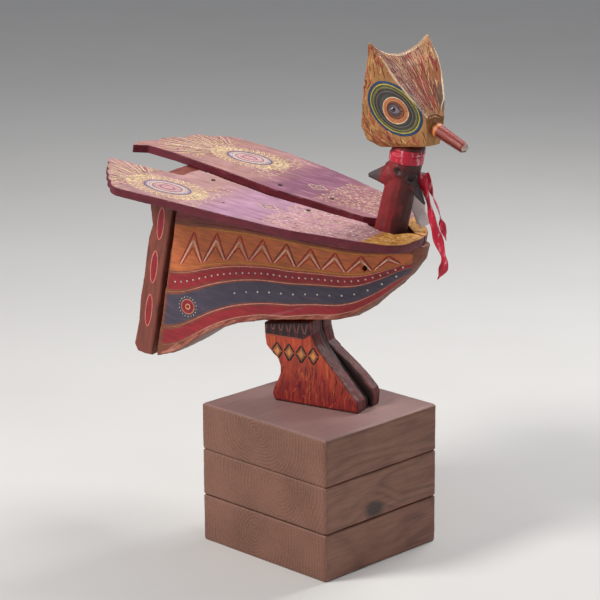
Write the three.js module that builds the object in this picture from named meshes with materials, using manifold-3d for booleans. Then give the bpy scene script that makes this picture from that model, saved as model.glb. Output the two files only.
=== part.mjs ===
// A painted wooden bird on a plinth of three stacked beams.
// Millimetres, +Z up, +X where the bird's body points, origin under the middle of the plinth.
// The body, tail and wings share one frame that is pitched nose down: u runs forward along the
// wing boards, w to the bird's left, and v square to the boards.
import * as THREE from 'three';
import { mergeVertices } from 'three/addons/utils/BufferGeometryUtils.js';
import Module from 'manifold-3d';

const wasm = await Module();
wasm.setup();

const GAP = 0.3; // clearance between pieces that touch

// Plinth
const BEAM_WIDTH = 250; // across the grain
const BEAM_LENGTH = 232; // along the grain
const BEAM_HEIGHT = 70;
const BEAM_EDGE = 1.2; // rounding along the beam's long edges
const BEAM_END_EDGE = 0.8;
const PLINTH_TOP = 3 * BEAM_HEIGHT;
const PLINTH_TURN = -14.5; // degrees, how far the plinth is turned from the bird
const PLINTH_DOWEL_RADIUS = 7;
const PLINTH_DOWEL_LENGTH = 130;
const PLINTH_DOWEL_SPACING = 150;

// Bird
const FIGURE_OFFSET = 13; // the bird stands this far left of the plinth's middle
const BODY_PITCH = 8.5; // degrees, nose down

// Leg
const LEG_WIDTH = 65;
const RIGHT_SLAB = 28;
const LEFT_SLAB = 24;
const LEG_CORE = LEG_WIDTH - RIGHT_SLAB - LEFT_SLAB - 2 * GAP;
const CORE_MIDDLE = -LEG_WIDTH / 2 + RIGHT_SLAB + GAP + LEG_CORE / 2;
const TONGUE_TOP = 385;
const LEG_PEG_RADIUS = 4;
const STUD_RADIUS = 4;
const STUD_DEPTH = 45;
const STUD_PLACES = { foot_stud_front: 32, foot_stud_rear: -28 };

// Body and wings, in the pitched frame
const WING_TOP = 495;
const WING_THICKNESS = 12.5;
const BODY_TOP = WING_TOP - WING_THICKNESS - GAP;
const BODY_HALF = 44;
const STEM_HALF = 18; // half width of the breast's front edge
const SLAT_DOWEL_RADIUS = 5;
const SLAT_DOWEL_LENGTH = 66;
const NAIL_RADIUS = 1.6;
const NAIL_HEAD_RADIUS = 3.2;
const NAIL_LENGTH = 38;

// Neck: a branch that leans forward
const NECK_LEAN = 12.8; // degrees from upright
const NECK_BASE = new THREE.Vector3(107, 0, 468);
const NECK_LENGTH = 135;
const NECK_TOP = 599.7;
const TENON_RADIUS = 15;
const TENON_LENGTH = 52;
const HEAD_DOWEL_RADIUS = 8;
const HEAD_DOWEL_LENGTH = 60;

// Head, in its own frame above the neck's top
const HEAD_PLACE = new THREE.Vector3(136, 0, 597);
const HEAD_TURN = -20; // degrees, the bird looks to its right
const BEAK_ROOT = new THREE.Vector3(51, 0, 36);
const BEAK_DROOP = 18; // degrees below level
const BEAK_LENGTH = 62;
const BEAK_RADIUS = 9;
const BEAK_PEG_RADIUS = 5.5;
const BEAK_PEG_LENGTH = 24;
const MOUTH_SLIT = 1.4;
const EYE_RADIUS = 3.6;

const rad = THREE.MathUtils.degToRad;
const vec = (x, y, z) => new THREE.Vector3(x, y, z);
const flat = (x, y) => new THREE.Vector2(x, y);

const PAINTS = {
  timber: { color: 0x8a6245, roughness: 0.75, metalness: 0 },
  red_wood: { color: 0xa8321f, roughness: 0.6, metalness: 0 },
  orange_wood: { color: 0xb5683a, roughness: 0.6, metalness: 0 },
  mauve_wood: { color: 0x8a4a5a, roughness: 0.6, metalness: 0 },
  dark_wood: { color: 0x3a1f18, roughness: 0.8, metalness: 0 },
  peg_wood: { color: 0xc79a66, roughness: 0.7, metalness: 0 },
  steel: { color: 0x8c8c90, roughness: 0.35, metalness: 1 },
  eye: { color: 0x101014, roughness: 0.1, metalness: 0 },
  crimson_cloth: { color: 0xc4123a, roughness: 0.5, metalness: 0 },
  white_cloth: { color: 0xf0e6e6, roughness: 0.6, metalness: 0 },
};

// ---------------------------------------------------------------- geometry helpers

function toSolid(geometry) {
  const bare = new THREE.BufferGeometry();
  const source = geometry.index ? geometry.toNonIndexed() : geometry;
  bare.setAttribute('position', source.getAttribute('position'));
  const merged = mergeVertices(bare, 1e-3);
  return new wasm.Manifold(
    new wasm.Mesh({
      numProp: 3,
      vertProperties: merged.attributes.position.array,
      triVerts: new Uint32Array(merged.index.array),
    }),
  );
}

function toGeometry(solid) {
  const mesh = solid.getMesh();
  const geometry = new THREE.BufferGeometry();
  geometry.setAttribute('position', new THREE.BufferAttribute(mesh.vertProperties, 3));
  geometry.setIndex(new THREE.BufferAttribute(mesh.triVerts, 1));
  const facets = geometry.toNonIndexed();
  facets.computeVertexNormals();
  return facets;
}

function cut(geometry, ...tools) {
  return toGeometry(tools.reduce((solid, tool) => solid.subtract(toSolid(tool)), toSolid(geometry)));
}

function join(geometry, ...others) {
  return toGeometry(others.reduce((solid, other) => solid.add(toSolid(other)), toSolid(geometry)));
}

// A closed skin through rings of points; flatten gives a ring's outline in the plane of its cap,
// or lid gives the triangles that close each end.
function skin(rings, flatten, lid) {
  const count = rings[0].length;
  const faces = [];
  for (let r = 0; r < rings.length - 1; r++) {
    for (let i = 0; i < count; i++) {
      const a = r * count + i;
      const b = r * count + ((i + 1) % count);
      faces.push(a, b, b + count, a, b + count, a + count);
    }
  }
  const cap = (ring, first, reversed) => {
    const outline = ring.map(flatten);
    const sense = Math.sign(THREE.ShapeUtils.area(outline));
    for (const [a, b, c] of THREE.ShapeUtils.triangulateShape(outline, [])) {
      const corner = THREE.ShapeUtils.area([outline[a], outline[b], outline[c]]);
      const keeps = Math.sign(corner) === sense;
      faces.push(first + a, ...(keeps !== reversed ? [first + b, first + c] : [first + c, first + b]));
    }
  };
  const top = (rings.length - 1) * count;
  if (lid) {
    faces.push(...lid.flatMap(([i, j, k]) => [i, k, j]));
    faces.push(...lid.flat().map((i) => top + i));
  } else {
    cap(rings[0], 0, true);
    cap(rings.at(-1), top, false);
  }
  const geometry = new THREE.BufferGeometry().setFromPoints(rings.flat());
  geometry.setIndex(faces);
  const inside = toSolid(geometry).volume() < 0;
  if (inside) geometry.setIndex(faces.reverse());
  const facets = geometry.toNonIndexed();
  facets.computeVertexNormals();
  return facets;
}

// A board standing in the x-z plane, from y = near to y = far.
function standingBoard(outline, near, far, edge = 1.5) {
  const geometry = new THREE.ExtrudeGeometry(new THREE.Shape(outline), {
    depth: far - near - 2 * edge,
    bevelThickness: edge,
    bevelSize: edge,
    bevelOffset: -edge,
    bevelSegments: 1,
    curveSegments: 6,
  });
  geometry.rotateX(Math.PI / 2);
  geometry.translate(0, far - edge, 0);
  return geometry;
}

// A cylinder along the z axis, from z = low to z = high.
function post(radius, low, high, sides = 16) {
  const geometry = new THREE.CylinderGeometry(radius, radius, high - low, sides);
  geometry.rotateX(Math.PI / 2);
  geometry.translate(0, 0, (low + high) / 2);
  return geometry;
}

function box(low, high) {
  const size = high.clone().sub(low);
  const middle = high.clone().add(low).multiplyScalar(0.5);
  return new THREE.BoxGeometry(size.x, size.y, size.z).translate(middle.x, middle.y, middle.z);
}

// A round limb: one ring of points for each station [distance along z, radius].
function limb(stations, sides = 16) {
  const rings = stations.map(([z, radius]) =>
    Array.from({ length: sides }, (_, i) => {
      const turn = (2 * Math.PI * i) / sides;
      return vec(radius * Math.cos(turn), radius * Math.sin(turn), z);
    }),
  );
  return skin(rings, (p) => flat(p.x, p.y));
}

// A narrow flat strip that follows a route.
function strip(route, width, thickness) {
  const path = new THREE.CatmullRomCurve3(route);
  const section = new THREE.Shape([
    flat(-thickness / 2, -width / 2),
    flat(thickness / 2, -width / 2),
    flat(thickness / 2, width / 2),
    flat(-thickness / 2, width / 2),
  ]);
  return new THREE.ExtrudeGeometry(section, { steps: 6 * route.length, extrudePath: path });
}

function piece(name, geometry, paint) {
  const mesh = new THREE.Mesh(geometry, new THREE.MeshStandardMaterial(PAINTS[paint]));
  mesh.name = name;
  return mesh;
}

// ---------------------------------------------------------------- plinth

function beam(level) {
  const width = BEAM_WIDTH / 2 - BEAM_EDGE;
  const height = BEAM_HEIGHT - GAP - 2 * BEAM_EDGE;
  const profile = new THREE.Shape();
  profile.moveTo(-width, 0);
  profile.lineTo(width, 0);
  profile.absarc(width, BEAM_EDGE, BEAM_EDGE, -Math.PI / 2, 0);
  profile.lineTo(width + BEAM_EDGE, BEAM_EDGE + height);
  profile.absarc(width, BEAM_EDGE + height, BEAM_EDGE, 0, Math.PI / 2);
  profile.lineTo(-width, height + 2 * BEAM_EDGE);
  profile.absarc(-width, BEAM_EDGE + height, BEAM_EDGE, Math.PI / 2, Math.PI);
  profile.lineTo(-width - BEAM_EDGE, BEAM_EDGE);
  profile.absarc(-width, BEAM_EDGE, BEAM_EDGE, Math.PI, 1.5 * Math.PI);
  const outline = profile.extractPoints(3).shape;
  const bottom = level * BEAM_HEIGHT + (level > 0 ? GAP : 0);
  const body = standingBoard(outline, -BEAM_LENGTH / 2, BEAM_LENGTH / 2, BEAM_END_EDGE);
  return body.translate(0, 0, bottom);
}

const dowelLow = (PLINTH_TOP - PLINTH_DOWEL_LENGTH) / 2;

function plinthBores() {
  return [-1, 1].map((side) =>
    post(PLINTH_DOWEL_RADIUS + GAP, dowelLow - 1, dowelLow + PLINTH_DOWEL_LENGTH + 1).translate(
      0,
      (side * PLINTH_DOWEL_SPACING) / 2,
      0,
    ),
  );
}

function studBores() {
  const low = PLINTH_TOP - STUD_DEPTH - 1;
  const high = PLINTH_TOP + STUD_DEPTH + 1;
  return Object.values(STUD_PLACES).map((x) =>
    post(STUD_RADIUS + GAP, low, high, 12).translate(x, CORE_MIDDLE, 0),
  );
}

function plinth() {
  const group = new THREE.Group();
  group.rotation.z = rad(PLINTH_TURN);
  // the studs stand in the bird's frame, so their bores turn back into the plinth's
  const studs = studBores().map((bore) => bore.translate(0, FIGURE_OFFSET, 0).rotateZ(-rad(PLINTH_TURN)));
  const dowels = plinthBores();
  group.add(
    piece('plinth_beam_bottom', cut(beam(0), ...dowels), 'timber'),
    piece('plinth_beam_middle', cut(beam(1), ...dowels), 'timber'),
    piece('plinth_beam_top', cut(beam(2), ...dowels, ...studs), 'timber'),
  );
  for (const [name, side] of [['plinth_dowel_left', 1], ['plinth_dowel_right', -1]]) {
    const dowel = post(PLINTH_DOWEL_RADIUS, dowelLow, dowelLow + PLINTH_DOWEL_LENGTH);
    dowel.translate(0, (side * PLINTH_DOWEL_SPACING) / 2, 0);
    group.add(piece(name, dowel, 'peg_wood'));
  }
  return group;
}

// ---------------------------------------------------------------- leg

const FOOT = PLINTH_TOP + GAP;

// Both slabs share the heel's profile; the left one keeps a higher instep.
const HEEL = [
  flat(-64, FOOT),
  flat(-67, 220),
  flat(-65, 230),
  flat(-58, 242),
  flat(-54, 253),
  flat(-54, 264),
  flat(-58, 274),
  flat(-68, 283),
  flat(-77, 292),
  flat(-79, 304),
  flat(-80, 326),
];
const RIGHT_INSTEP = [
  flat(-3, 337),
  flat(-2, 316),
  flat(5, 301),
  flat(14, 290),
  flat(28, 275),
  flat(55, 246),
  flat(73, 226),
  flat(74, FOOT),
];
const LEFT_INSTEP = [
  flat(-3, 337),
  flat(-3, 318),
  flat(2, 298),
  flat(14, 287),
  flat(33, 273),
  flat(55, 255),
  flat(74, 236),
  flat(77, 228),
  flat(75, FOOT),
];
const CORE_INSTEP = [
  flat(-6, 335),
  flat(-5, 316),
  flat(2, 299),
  flat(11, 287),
  flat(25, 272),
  flat(52, 243),
  flat(70, 224),
  flat(71, FOOT),
];

const LEG_PEGS = { leg_peg_upper: vec(-42, 0, 308), leg_peg_lower: vec(12, 0, 240) };

function legPegs(radius, half) {
  return Object.values(LEG_PEGS).map((place) =>
    post(radius, -half, half, 12).rotateX(Math.PI / 2).translate(place.x, 0, place.z),
  );
}

function slab(instep, near, far, bores) {
  const outline = [...instep, ...HEEL].reverse();
  return cut(standingBoard(outline, near, far, 2), ...bores);
}

function legCore(near, far, bores) {
  const heel = HEEL.map((p) => flat(p.x + 6, p.y));
  const tongue = [flat(-66, 327), flat(-66, TONGUE_TOP), flat(-18, TONGUE_TOP), flat(-18, 333)];
  const outline = [...CORE_INSTEP].reverse().concat(tongue.reverse(), heel.reverse());
  return cut(standingBoard(outline, near, far, 0.8), ...bores);
}

function leg() {
  const group = new THREE.Group();
  const right = -LEG_WIDTH / 2;
  const coreNear = right + RIGHT_SLAB + GAP;
  const coreFar = coreNear + LEG_CORE;
  const pegBores = legPegs(LEG_PEG_RADIUS + GAP, LEG_WIDTH / 2 - 5);
  group.add(
    piece('leg_slab_right', slab(RIGHT_INSTEP, right, right + RIGHT_SLAB, pegBores), 'red_wood'),
    piece('leg_slab_left', slab(LEFT_INSTEP, coreFar + GAP, LEG_WIDTH / 2, pegBores), 'red_wood'),
    piece('leg_core', legCore(coreNear, coreFar, [...pegBores, ...studBores()]), 'dark_wood'),
  );
  const pegs = legPegs(LEG_PEG_RADIUS, LEG_WIDTH / 2 - 6);
  Object.keys(LEG_PEGS).forEach((name, i) => group.add(piece(name, pegs[i], 'peg_wood')));
  for (const [name, x] of Object.entries(STUD_PLACES)) {
    const stud = post(STUD_RADIUS, PLINTH_TOP - STUD_DEPTH, PLINTH_TOP + STUD_DEPTH, 12);
    group.add(piece(name, stud.translate(x, CORE_MIDDLE, 0), 'steel'));
  }
  return group;
}

// ---------------------------------------------------------------- body and tail slat

// Each row is a place round the body's side outline: u and v on the flat side, u and v on the
// middle plane, and the half width there.
const BODY_ROWS = [
  [-294, 211, -294, 208, BODY_HALF],
  [-268, 223, -268, 220, BODY_HALF],
  [-247, 240, -246, 237, BODY_HALF],
  [-224, 263, -223, 259, BODY_HALF],
  [-200, 281, -199, 277, BODY_HALF],
  [-168, 300, -167, 296, BODY_HALF],
  [-124, 318, -123, 314, BODY_HALF],
  [-63, 336, -62, 332, 42],
  [-19, 349, -16, 342, 38],
  [5, 374, 8, 352, 34],
  [22, 399, 34, 375, 31],
  [37, 411, 55, 402, 28],
  [50, 423, 70, 418, 25],
  [67, 437, 84, 438, 22],
  [83, 465, 97, 461, STEM_HALF],
  [87, BODY_TOP, 98, BODY_TOP, STEM_HALF],
  [30, BODY_TOP, 30, BODY_TOP, 31],
  [-40, BODY_TOP, -40, BODY_TOP, 40],
  [-100, BODY_TOP, -100, BODY_TOP, BODY_HALF],
  [-285.5, BODY_TOP, -285.5, BODY_TOP, BODY_HALF],
];
const BODY_LEVELS = [-1, -0.88, -0.55, 0, 0.55, 0.88, 1];

function hull() {
  const rings = BODY_LEVELS.map((level) => {
    const fullness = Math.sqrt(1 - level * level);
    return BODY_ROWS.map(([u, v, keelU, keelV, half]) =>
      vec(
        THREE.MathUtils.lerp(u, keelU, fullness),
        level * half,
        THREE.MathUtils.lerp(v, keelV, fullness),
      ),
    );
  });
  return skin(rings, (p) => flat(p.x, p.z));
}

const SLAT_OUTLINE = [
  flat(-302, 209),
  flat(-314, 207),
  flat(-328, 208),
  flat(-335, 218),
  flat(-331, 256),
  flat(-333, 287),
  flat(-331, 327),
  flat(-330, 364),
  flat(-330, 387),
  flat(-326, 407),
  flat(-333, 433),
  flat(-331, 458),
  flat(-327, BODY_TOP),
  flat(-293, BODY_TOP),
];
const SLAT_DOWELS = { tail_dowel_upper: 430, tail_dowel_lower: 275 };
const SLAT_DOWEL_MIDDLE = -296;

function slatDowel(v, radius, half) {
  return post(radius, -half, half, 12).rotateY(Math.PI / 2).translate(SLAT_DOWEL_MIDDLE, 0, v);
}

const pitch = rad(BODY_PITCH);

// Takes a geometry from the upright frame into the pitched frame of body and wings.
function intoPitched(geometry) {
  return geometry.rotateY(-pitch);
}

function neckSocket() {
  const socket = post(TENON_RADIUS + GAP, -TENON_LENGTH - 1, 40, 20);
  socket.rotateY(rad(NECK_LEAN)).translate(NECK_BASE.x, NECK_BASE.y, NECK_BASE.z);
  return intoPitched(socket);
}

function mortise() {
  const near = CORE_MIDDLE - LEG_CORE / 2 - GAP;
  const far = CORE_MIDDLE + LEG_CORE / 2 + GAP;
  return intoPitched(box(vec(-67, near, 300), vec(-17, far, TONGUE_TOP + 1)));
}

function body() {
  const sideHole = post(4, 0, 16, 12).rotateX(Math.PI / 2).translate(20, -18, 434);
  const dowelBores = Object.values(SLAT_DOWELS).map((v) =>
    slatDowel(v, SLAT_DOWEL_RADIUS + GAP, SLAT_DOWEL_LENGTH / 2 + 1),
  );
  return cut(hull(), neckSocket(), mortise(), sideHole, nailBore(-76, -38), nailBore(-81, 38),
    nailBore(-164, 32), nailBore(-240, -30), ...dowelBores);
}

function tailSlat() {
  const dowelBores = Object.values(SLAT_DOWELS).map((v) =>
    slatDowel(v, SLAT_DOWEL_RADIUS + GAP, SLAT_DOWEL_LENGTH / 2 + 1),
  );
  const board = standingBoard([...SLAT_OUTLINE].reverse(), -BODY_HALF, BODY_HALF, 2);
  return cut(board, ...dowelBores);
}

// ---------------------------------------------------------------- wings

const NAILS = {
  nail_right_front: flat(-76, -38),
  nail_right_rear: flat(-240, -30),
  nail_left_front: flat(-81, 38),
  nail_left_rear: flat(-164, 32),
};

function nailBore(u, w) {
  return post(NAIL_RADIUS + GAP, WING_TOP - NAIL_LENGTH - 1, WING_TOP + 1, 8).translate(u, w, 0);
}

function nail(place) {
  const shank = post(NAIL_RADIUS, WING_TOP - NAIL_LENGTH, WING_TOP + GAP + 0.4, 8);
  const head = post(NAIL_HEAD_RADIUS, WING_TOP + GAP, WING_TOP + GAP + 0.9, 10);
  return join(shank, head).translate(place.x, place.y, 0);
}

// Feather tips: a run of round lobes through the given points.
function lobes(shape, points, bulge) {
  for (let i = 1; i < points.length; i++) {
    const from = points[i - 1];
    const to = points[i];
    const out = flat(from.y - to.y, to.x - from.x).normalize().multiplyScalar(-bulge);
    const middle = from.clone().add(to).multiplyScalar(0.5).add(out);
    shape.quadraticCurveTo(middle.x, middle.y, to.x, to.y);
  }
}

function through(shape, points) {
  points.forEach(([u, w]) => shape.lineTo(u, w));
}

function rightWingOutline() {
  const shape = new THREE.Shape();
  shape.moveTo(92, -3.5);
  through(shape, [[76, -4], [67, -11], [60, -30], [36, -34], [14, -24], [8, -18]]);
  through(shape, [[-40, -21], [-94, -22], [-147, -24], [-185, -17], [-222, -12], [-257, -5], [-281, -4]]);
  through(shape, [[-284, -24], [-282, -46], [-342, -54], [-397, -60]]);
  lobes(shape, [flat(-397, -60), flat(-384, -84), flat(-369, -107), flat(-352, -130), flat(-333, -153),
    flat(-312, -173)], 7);
  through(shape, [[-291, -171], [-233, -162], [-161, -154], [-77, -142], [-47, -135], [1, -115]]);
  through(shape, [[33, -103], [54, -93], [72, -83]]);
  shape.quadraticCurveTo(90, -70, 92, -47);
  shape.lineTo(94, -20);
  return shape;
}

function leftWingOutline() {
  const shape = new THREE.Shape();
  shape.moveTo(92, -1);
  shape.quadraticCurveTo(88, 24, 69, 42);
  through(shape, [[51, 63], [35, 79], [19, 90], [-51, 132], [-110, 153], [-147, 164], [-238, 185]]);
  through(shape, [[-307, 189], [-327, 188]]);
  lobes(shape, [flat(-327, 188), flat(-352, 177), flat(-364, 160), flat(-385, 146), flat(-386, 116),
    flat(-402, 100), flat(-404, 68), flat(-417, 44), flat(-414, 22)], 6);
  through(shape, [[-397, 39], [-349, 39], [-279, 30], [-228, 22], [-168, 11], [-112, 9], [-57, 8]]);
  through(shape, [[-10, 5], [12, 16], [30, 27], [50, 25], [64, 10], [76, -1]]);
  return shape;
}

const GROOVE_WIDTH = 3;
const GROOVE_DEPTH = 1.6;
const GROOVE_RUNOUT = 6; // how far a groove's cut runs past the notch

// Straight feather grooves in the rear of a wing: each runs from a tip notch towards a point.
function featherGrooves(notches, focus, length) {
  return notches.map((notch) => {
    const run = focus.clone().sub(notch).normalize();
    const groove = new THREE.BoxGeometry(length, GROOVE_WIDTH, 2 * GROOVE_DEPTH);
    groove.rotateZ(Math.atan2(run.y, run.x));
    const middle = run.multiplyScalar(length / 2 - GROOVE_RUNOUT).add(notch);
    return groove.translate(middle.x, middle.y, WING_TOP);
  });
}

function wing(outline, nails, oldHole, grooves) {
  const board = new THREE.ExtrudeGeometry(outline, {
    depth: WING_THICKNESS,
    bevelEnabled: false,
    curveSegments: 5,
  }).translate(0, 0, WING_TOP - WING_THICKNESS);
  const bores = nails.map((name) => nailBore(NAILS[name].x, NAILS[name].y));
  const hole = post(2.5, WING_TOP - 7, WING_TOP + 1, 10).translate(oldHole.x, oldHole.y, 0);
  return cut(board, hole, ...bores, ...grooves);
}

function bodyGroup() {
  const group = new THREE.Group();
  group.rotation.y = pitch;
  const rightNotches = [flat(-384, -84), flat(-369, -107), flat(-352, -130), flat(-333, -153)];
  const leftNotches = [flat(-352, 177), flat(-364, 160), flat(-385, 146), flat(-386, 116), flat(-402, 100),
    flat(-404, 68)];
  const right = wing(rightWingOutline(), ['nail_right_front', 'nail_right_rear'], flat(-175, -106),
    featherGrooves(rightNotches, flat(-240, -90), 62));
  const left = wing(leftWingOutline(), ['nail_left_front', 'nail_left_rear'], flat(-221, 123),
    featherGrooves(leftNotches, flat(-270, 112), 46));
  group.add(
    piece('body_block', body(), 'orange_wood'),
    piece('tail_slat', tailSlat(), 'orange_wood'),
    piece('wing_right', right, 'mauve_wood'),
    piece('wing_left', left, 'mauve_wood'),
  );
  for (const [name, v] of Object.entries(SLAT_DOWELS)) {
    group.add(piece(name, slatDowel(v, SLAT_DOWEL_RADIUS, SLAT_DOWEL_LENGTH / 2), 'peg_wood'));
  }
  for (const [name, place] of Object.entries(NAILS)) {
    group.add(piece(name, nail(place), 'steel'));
  }
  return group;
}

// ---------------------------------------------------------------- neck

// A side shoot that was broken off: it tapers from one place to another.
function stub(from, to, radii) {
  const run = to.clone().sub(from);
  const stations = radii.map((radius, i) => [(run.length() * i) / (radii.length - 1), radius]);
  const turn = new THREE.Quaternion().setFromUnitVectors(vec(0, 0, 1), run.clone().normalize());
  return limb(stations, 10).applyQuaternion(turn).translate(from.x, from.y, from.z);
}

function branch() {
  const trunk = limb([
    [-TENON_LENGTH, TENON_RADIUS],
    [9, TENON_RADIUS],
    [9.6, 23.5],
    [30, 22.6],
    [60, 22],
    [85, 21.4],
    [105, 20.6],
    [NECK_LENGTH + 6, 20.4],
  ]);
  const rearStub = stub(vec(-4, -2, 92), vec(-48, -6, 78), [20, 17, 9.5, 3]);
  const frontStub = stub(vec(8, -5, 98), vec(45, -7, 66), [10, 9, 5.5, 1.5]);
  const topTrim = box(vec(-80, -60, NECK_TOP), vec(80, 60, NECK_TOP + 90));
  topTrim.translate(NECK_BASE.x, 0, 0);
  const turned = join(trunk, rearStub, frontStub).rotateY(rad(NECK_LEAN));
  turned.translate(NECK_BASE.x, NECK_BASE.y, NECK_BASE.z);
  return cut(turned, topTrim, headDowel(GAP));
}

function headDowel(clearance) {
  const half = HEAD_DOWEL_LENGTH / 2 + 3 * clearance;
  const dowel = post(HEAD_DOWEL_RADIUS + clearance, -half, half, 14);
  dowel.rotateY(rad(NECK_LEAN));
  return dowel.translate(HEAD_PLACE.x, 0, HEAD_PLACE.z + 3);
}

function neckGroup() {
  const group = new THREE.Group();
  const wrap = new THREE.LatheGeometry(
    [flat(21.6, 106), flat(24.2, 106), flat(25.4, 112), flat(24.6, 118), flat(25.2, 124), flat(23.4, 128),
      flat(21.6, 128), flat(21.6, 106)],
    20,
  );
  wrap.rotateX(Math.PI / 2).rotateY(rad(NECK_LEAN)).translate(NECK_BASE.x, NECK_BASE.y, NECK_BASE.z);
  group.add(
    piece('neck_branch', branch(), 'red_wood'),
    piece('head_dowel', headDowel(0), 'peg_wood'),
    piece('ribbon_wrap', wrap, 'crimson_cloth'),
  );
  return group;
}

// ---------------------------------------------------------------- ribbon ends

const RED_TAIL = [
  vec(155.5, 3, 562), vec(159, 2, 549), vec(167, 1, 525), vec(174, 0, 501), vec(184, -2, 475),
  vec(195, -3, 445), vec(192, -3, 430), vec(185, -3, 417),
];
const THIN_TAIL = [
  vec(157, 11, 562), vec(164, 9, 547), vec(171, 7, 532), vec(180, 6, 515), vec(187, 5, 493),
  vec(194, 4, 472),
];
const WHITE_TAIL = [
  vec(148, 20, 561), vec(143, 22, 542), vec(139, 23, 522), vec(143, 21, 504), vec(157, 17, 487),
];

function ribbonEnds() {
  const group = new THREE.Group();
  group.add(
    piece('ribbon_tail_red', strip(RED_TAIL, 8, 1.6), 'crimson_cloth'),
    piece('ribbon_tail_thin', strip(THIN_TAIL, 3, 1.4), 'crimson_cloth'),
    piece('ribbon_tail_white', strip(WHITE_TAIL, 12, 1.4), 'white_cloth'),
  );
  return group;
}

// ---------------------------------------------------------------- head

// Half of each level of the head, from the neck up. A level is given by [forward, sideways, up] of
// the back's middle, the back corner, the ridge beside the forehead, and the forehead's middle.
// The last number lets the crest sag between its middle and a horn.
const CREST_SAG = 4.7; // how far the crest hangs below a line from its middle to a horn
const HEAD_LEVELS = [
  [[-26, 0, 3], [-22, 32, 3], [28, 11, 8], [33, 0, 8]],
  [[-42, 0, 13], [-36, 45, 13], [50, 13, 13], [54, 0, 13]],
  [[-48, 0, 33], [-41, 51, 33], [54, 14, 31], [57, 0, 31]],
  [[-45, 0, 58], [-37, 53, 60], [54, 17, 52], [53, 0, 52]],
  [[-40, 0, 88], [-33, 54, 88], [41, 29, 75], [35, 0, 71]],
  [[-33, 0, 110], [-28, 54, 112], [24, 41, 98], [13, 0, 95]],
  [[-27, 0, 122], [-24, 54, 132], [8, 48, 122], [-4, 0, 114]],
  [[-23, 0, 129], [-23, 54, 151], [-18, 52, 149], [-18, 0, 129], CREST_SAG],
];

// The crest is a thin strip from horn to horn, so both ends join the rear points to the front ones.
const HEAD_LID = [
  [0, 1, 7], [0, 7, 8], [1, 2, 6], [1, 6, 7], [2, 3, 5], [2, 5, 6], [3, 4, 5],
  [0, 8, 9], [0, 9, 15], [15, 9, 10], [15, 10, 14], [14, 10, 11], [14, 11, 13], [11, 12, 13],
];

function headLevel([back, corner, ridge, forehead, sag = 0]) {
  const at = ([f, s, z], side) => vec(f, side * s, z);
  const along = (a, b, share, side, push) => at(a, side).lerp(at(b, side), share).add(push);
  const rear = vec(0, 0, -sag);
  const front = vec(-1.5, 0, -1 - sag);
  const half = (side) => [
    along(back, corner, 1 / 3, side, rear),
    along(back, corner, 2 / 3, side, rear),
    at(corner, side),
    along(corner, ridge, 0.5, side, vec(0, side * 2, 0)),
    at(ridge, side),
    along(forehead, ridge, 2 / 3, side, front),
    along(forehead, ridge, 1 / 3, side, front),
  ];
  return [at(back, 1), ...half(-1), at(forehead, 1), ...half(1).reverse()];
}

function inHeadFrame(geometry) {
  return geometry.rotateZ(rad(HEAD_TURN)).translate(HEAD_PLACE.x, HEAD_PLACE.y, HEAD_PLACE.z);
}

function beakTwig() {
  const twig = limb([
    [-BEAK_PEG_LENGTH, BEAK_PEG_RADIUS],
    [1.4, BEAK_PEG_RADIUS],
    [1.8, BEAK_RADIUS + 1.5],
    [7, BEAK_RADIUS + 0.6],
    [14, BEAK_RADIUS],
    [40, BEAK_RADIUS - 0.8],
    [BEAK_LENGTH - 5, BEAK_RADIUS - 1.4],
    [BEAK_LENGTH - 1, BEAK_RADIUS - 3],
    [BEAK_LENGTH, BEAK_RADIUS - 5],
  ], 14);
  const slit = box(vec(2, -20, 12), vec(2 + MOUTH_SLIT, 20, BEAK_LENGTH + 5));
  return cut(twig, slit);
}

function placeBeak(geometry) {
  geometry.rotateY(rad(90 + BEAK_DROOP)).translate(BEAK_ROOT.x + 4.5, BEAK_ROOT.y, BEAK_ROOT.z);
  return inHeadFrame(geometry);
}

// The eyes look out from the head's sides; each bead has a short stem in a hole.
const EYE_PLACE = vec(9, 36, 61);
const EYE_NORMAL = vec(0.42, 1, 0.08);

function eyeTool(side, radius, dome, depth) {
  const normal = EYE_NORMAL.clone().setY(side * EYE_NORMAL.y).normalize();
  const bead = new THREE.SphereGeometry(radius, 12, 8).scale(1, 1, 0.7).translate(0, 0, dome);
  const stem = post(radius * 0.5, -depth, dome, 8);
  const turn = new THREE.Quaternion().setFromUnitVectors(vec(0, 0, 1), normal);
  const tool = join(bead, stem).applyQuaternion(turn);
  return inHeadFrame(tool.translate(EYE_PLACE.x, side * EYE_PLACE.y, EYE_PLACE.z));
}

function headBlock() {
  const block = inHeadFrame(skin(HEAD_LEVELS.map(headLevel), (p) => flat(p.x, p.y), HEAD_LID));
  const pegHole = placeBeak(post(BEAK_PEG_RADIUS + GAP, -BEAK_PEG_LENGTH - 1, 20, 14));
  const beakSeat = placeBeak(post(BEAK_RADIUS + 2, 1.1, 40, 14));
  return cut(block, headDowel(GAP), pegHole, beakSeat, eyeSocket(-1), eyeSocket(1));
}

function eyeSocket(side) {
  return eyeTool(side, EYE_RADIUS + GAP, 0, 7);
}

function headGroup() {
  const group = new THREE.Group();
  group.add(
    piece('head_block', headBlock(), 'orange_wood'),
    piece('beak_twig', placeBeak(beakTwig()), 'red_wood'),
    piece('eye_bead_right', eyeTool(-1, EYE_RADIUS, 0, 6), 'eye'),
    piece('eye_bead_left', eyeTool(1, EYE_RADIUS, 0, 6), 'eye'),
  );
  return group;
}

// ---------------------------------------------------------------- the whole bird

const bird = new THREE.Group();
bird.position.y = FIGURE_OFFSET;
bird.add(leg(), bodyGroup(), neckGroup(), ribbonEnds(), headGroup());

const figure = new THREE.Group();
figure.add(plinth(), bird);

export default figure;
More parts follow.
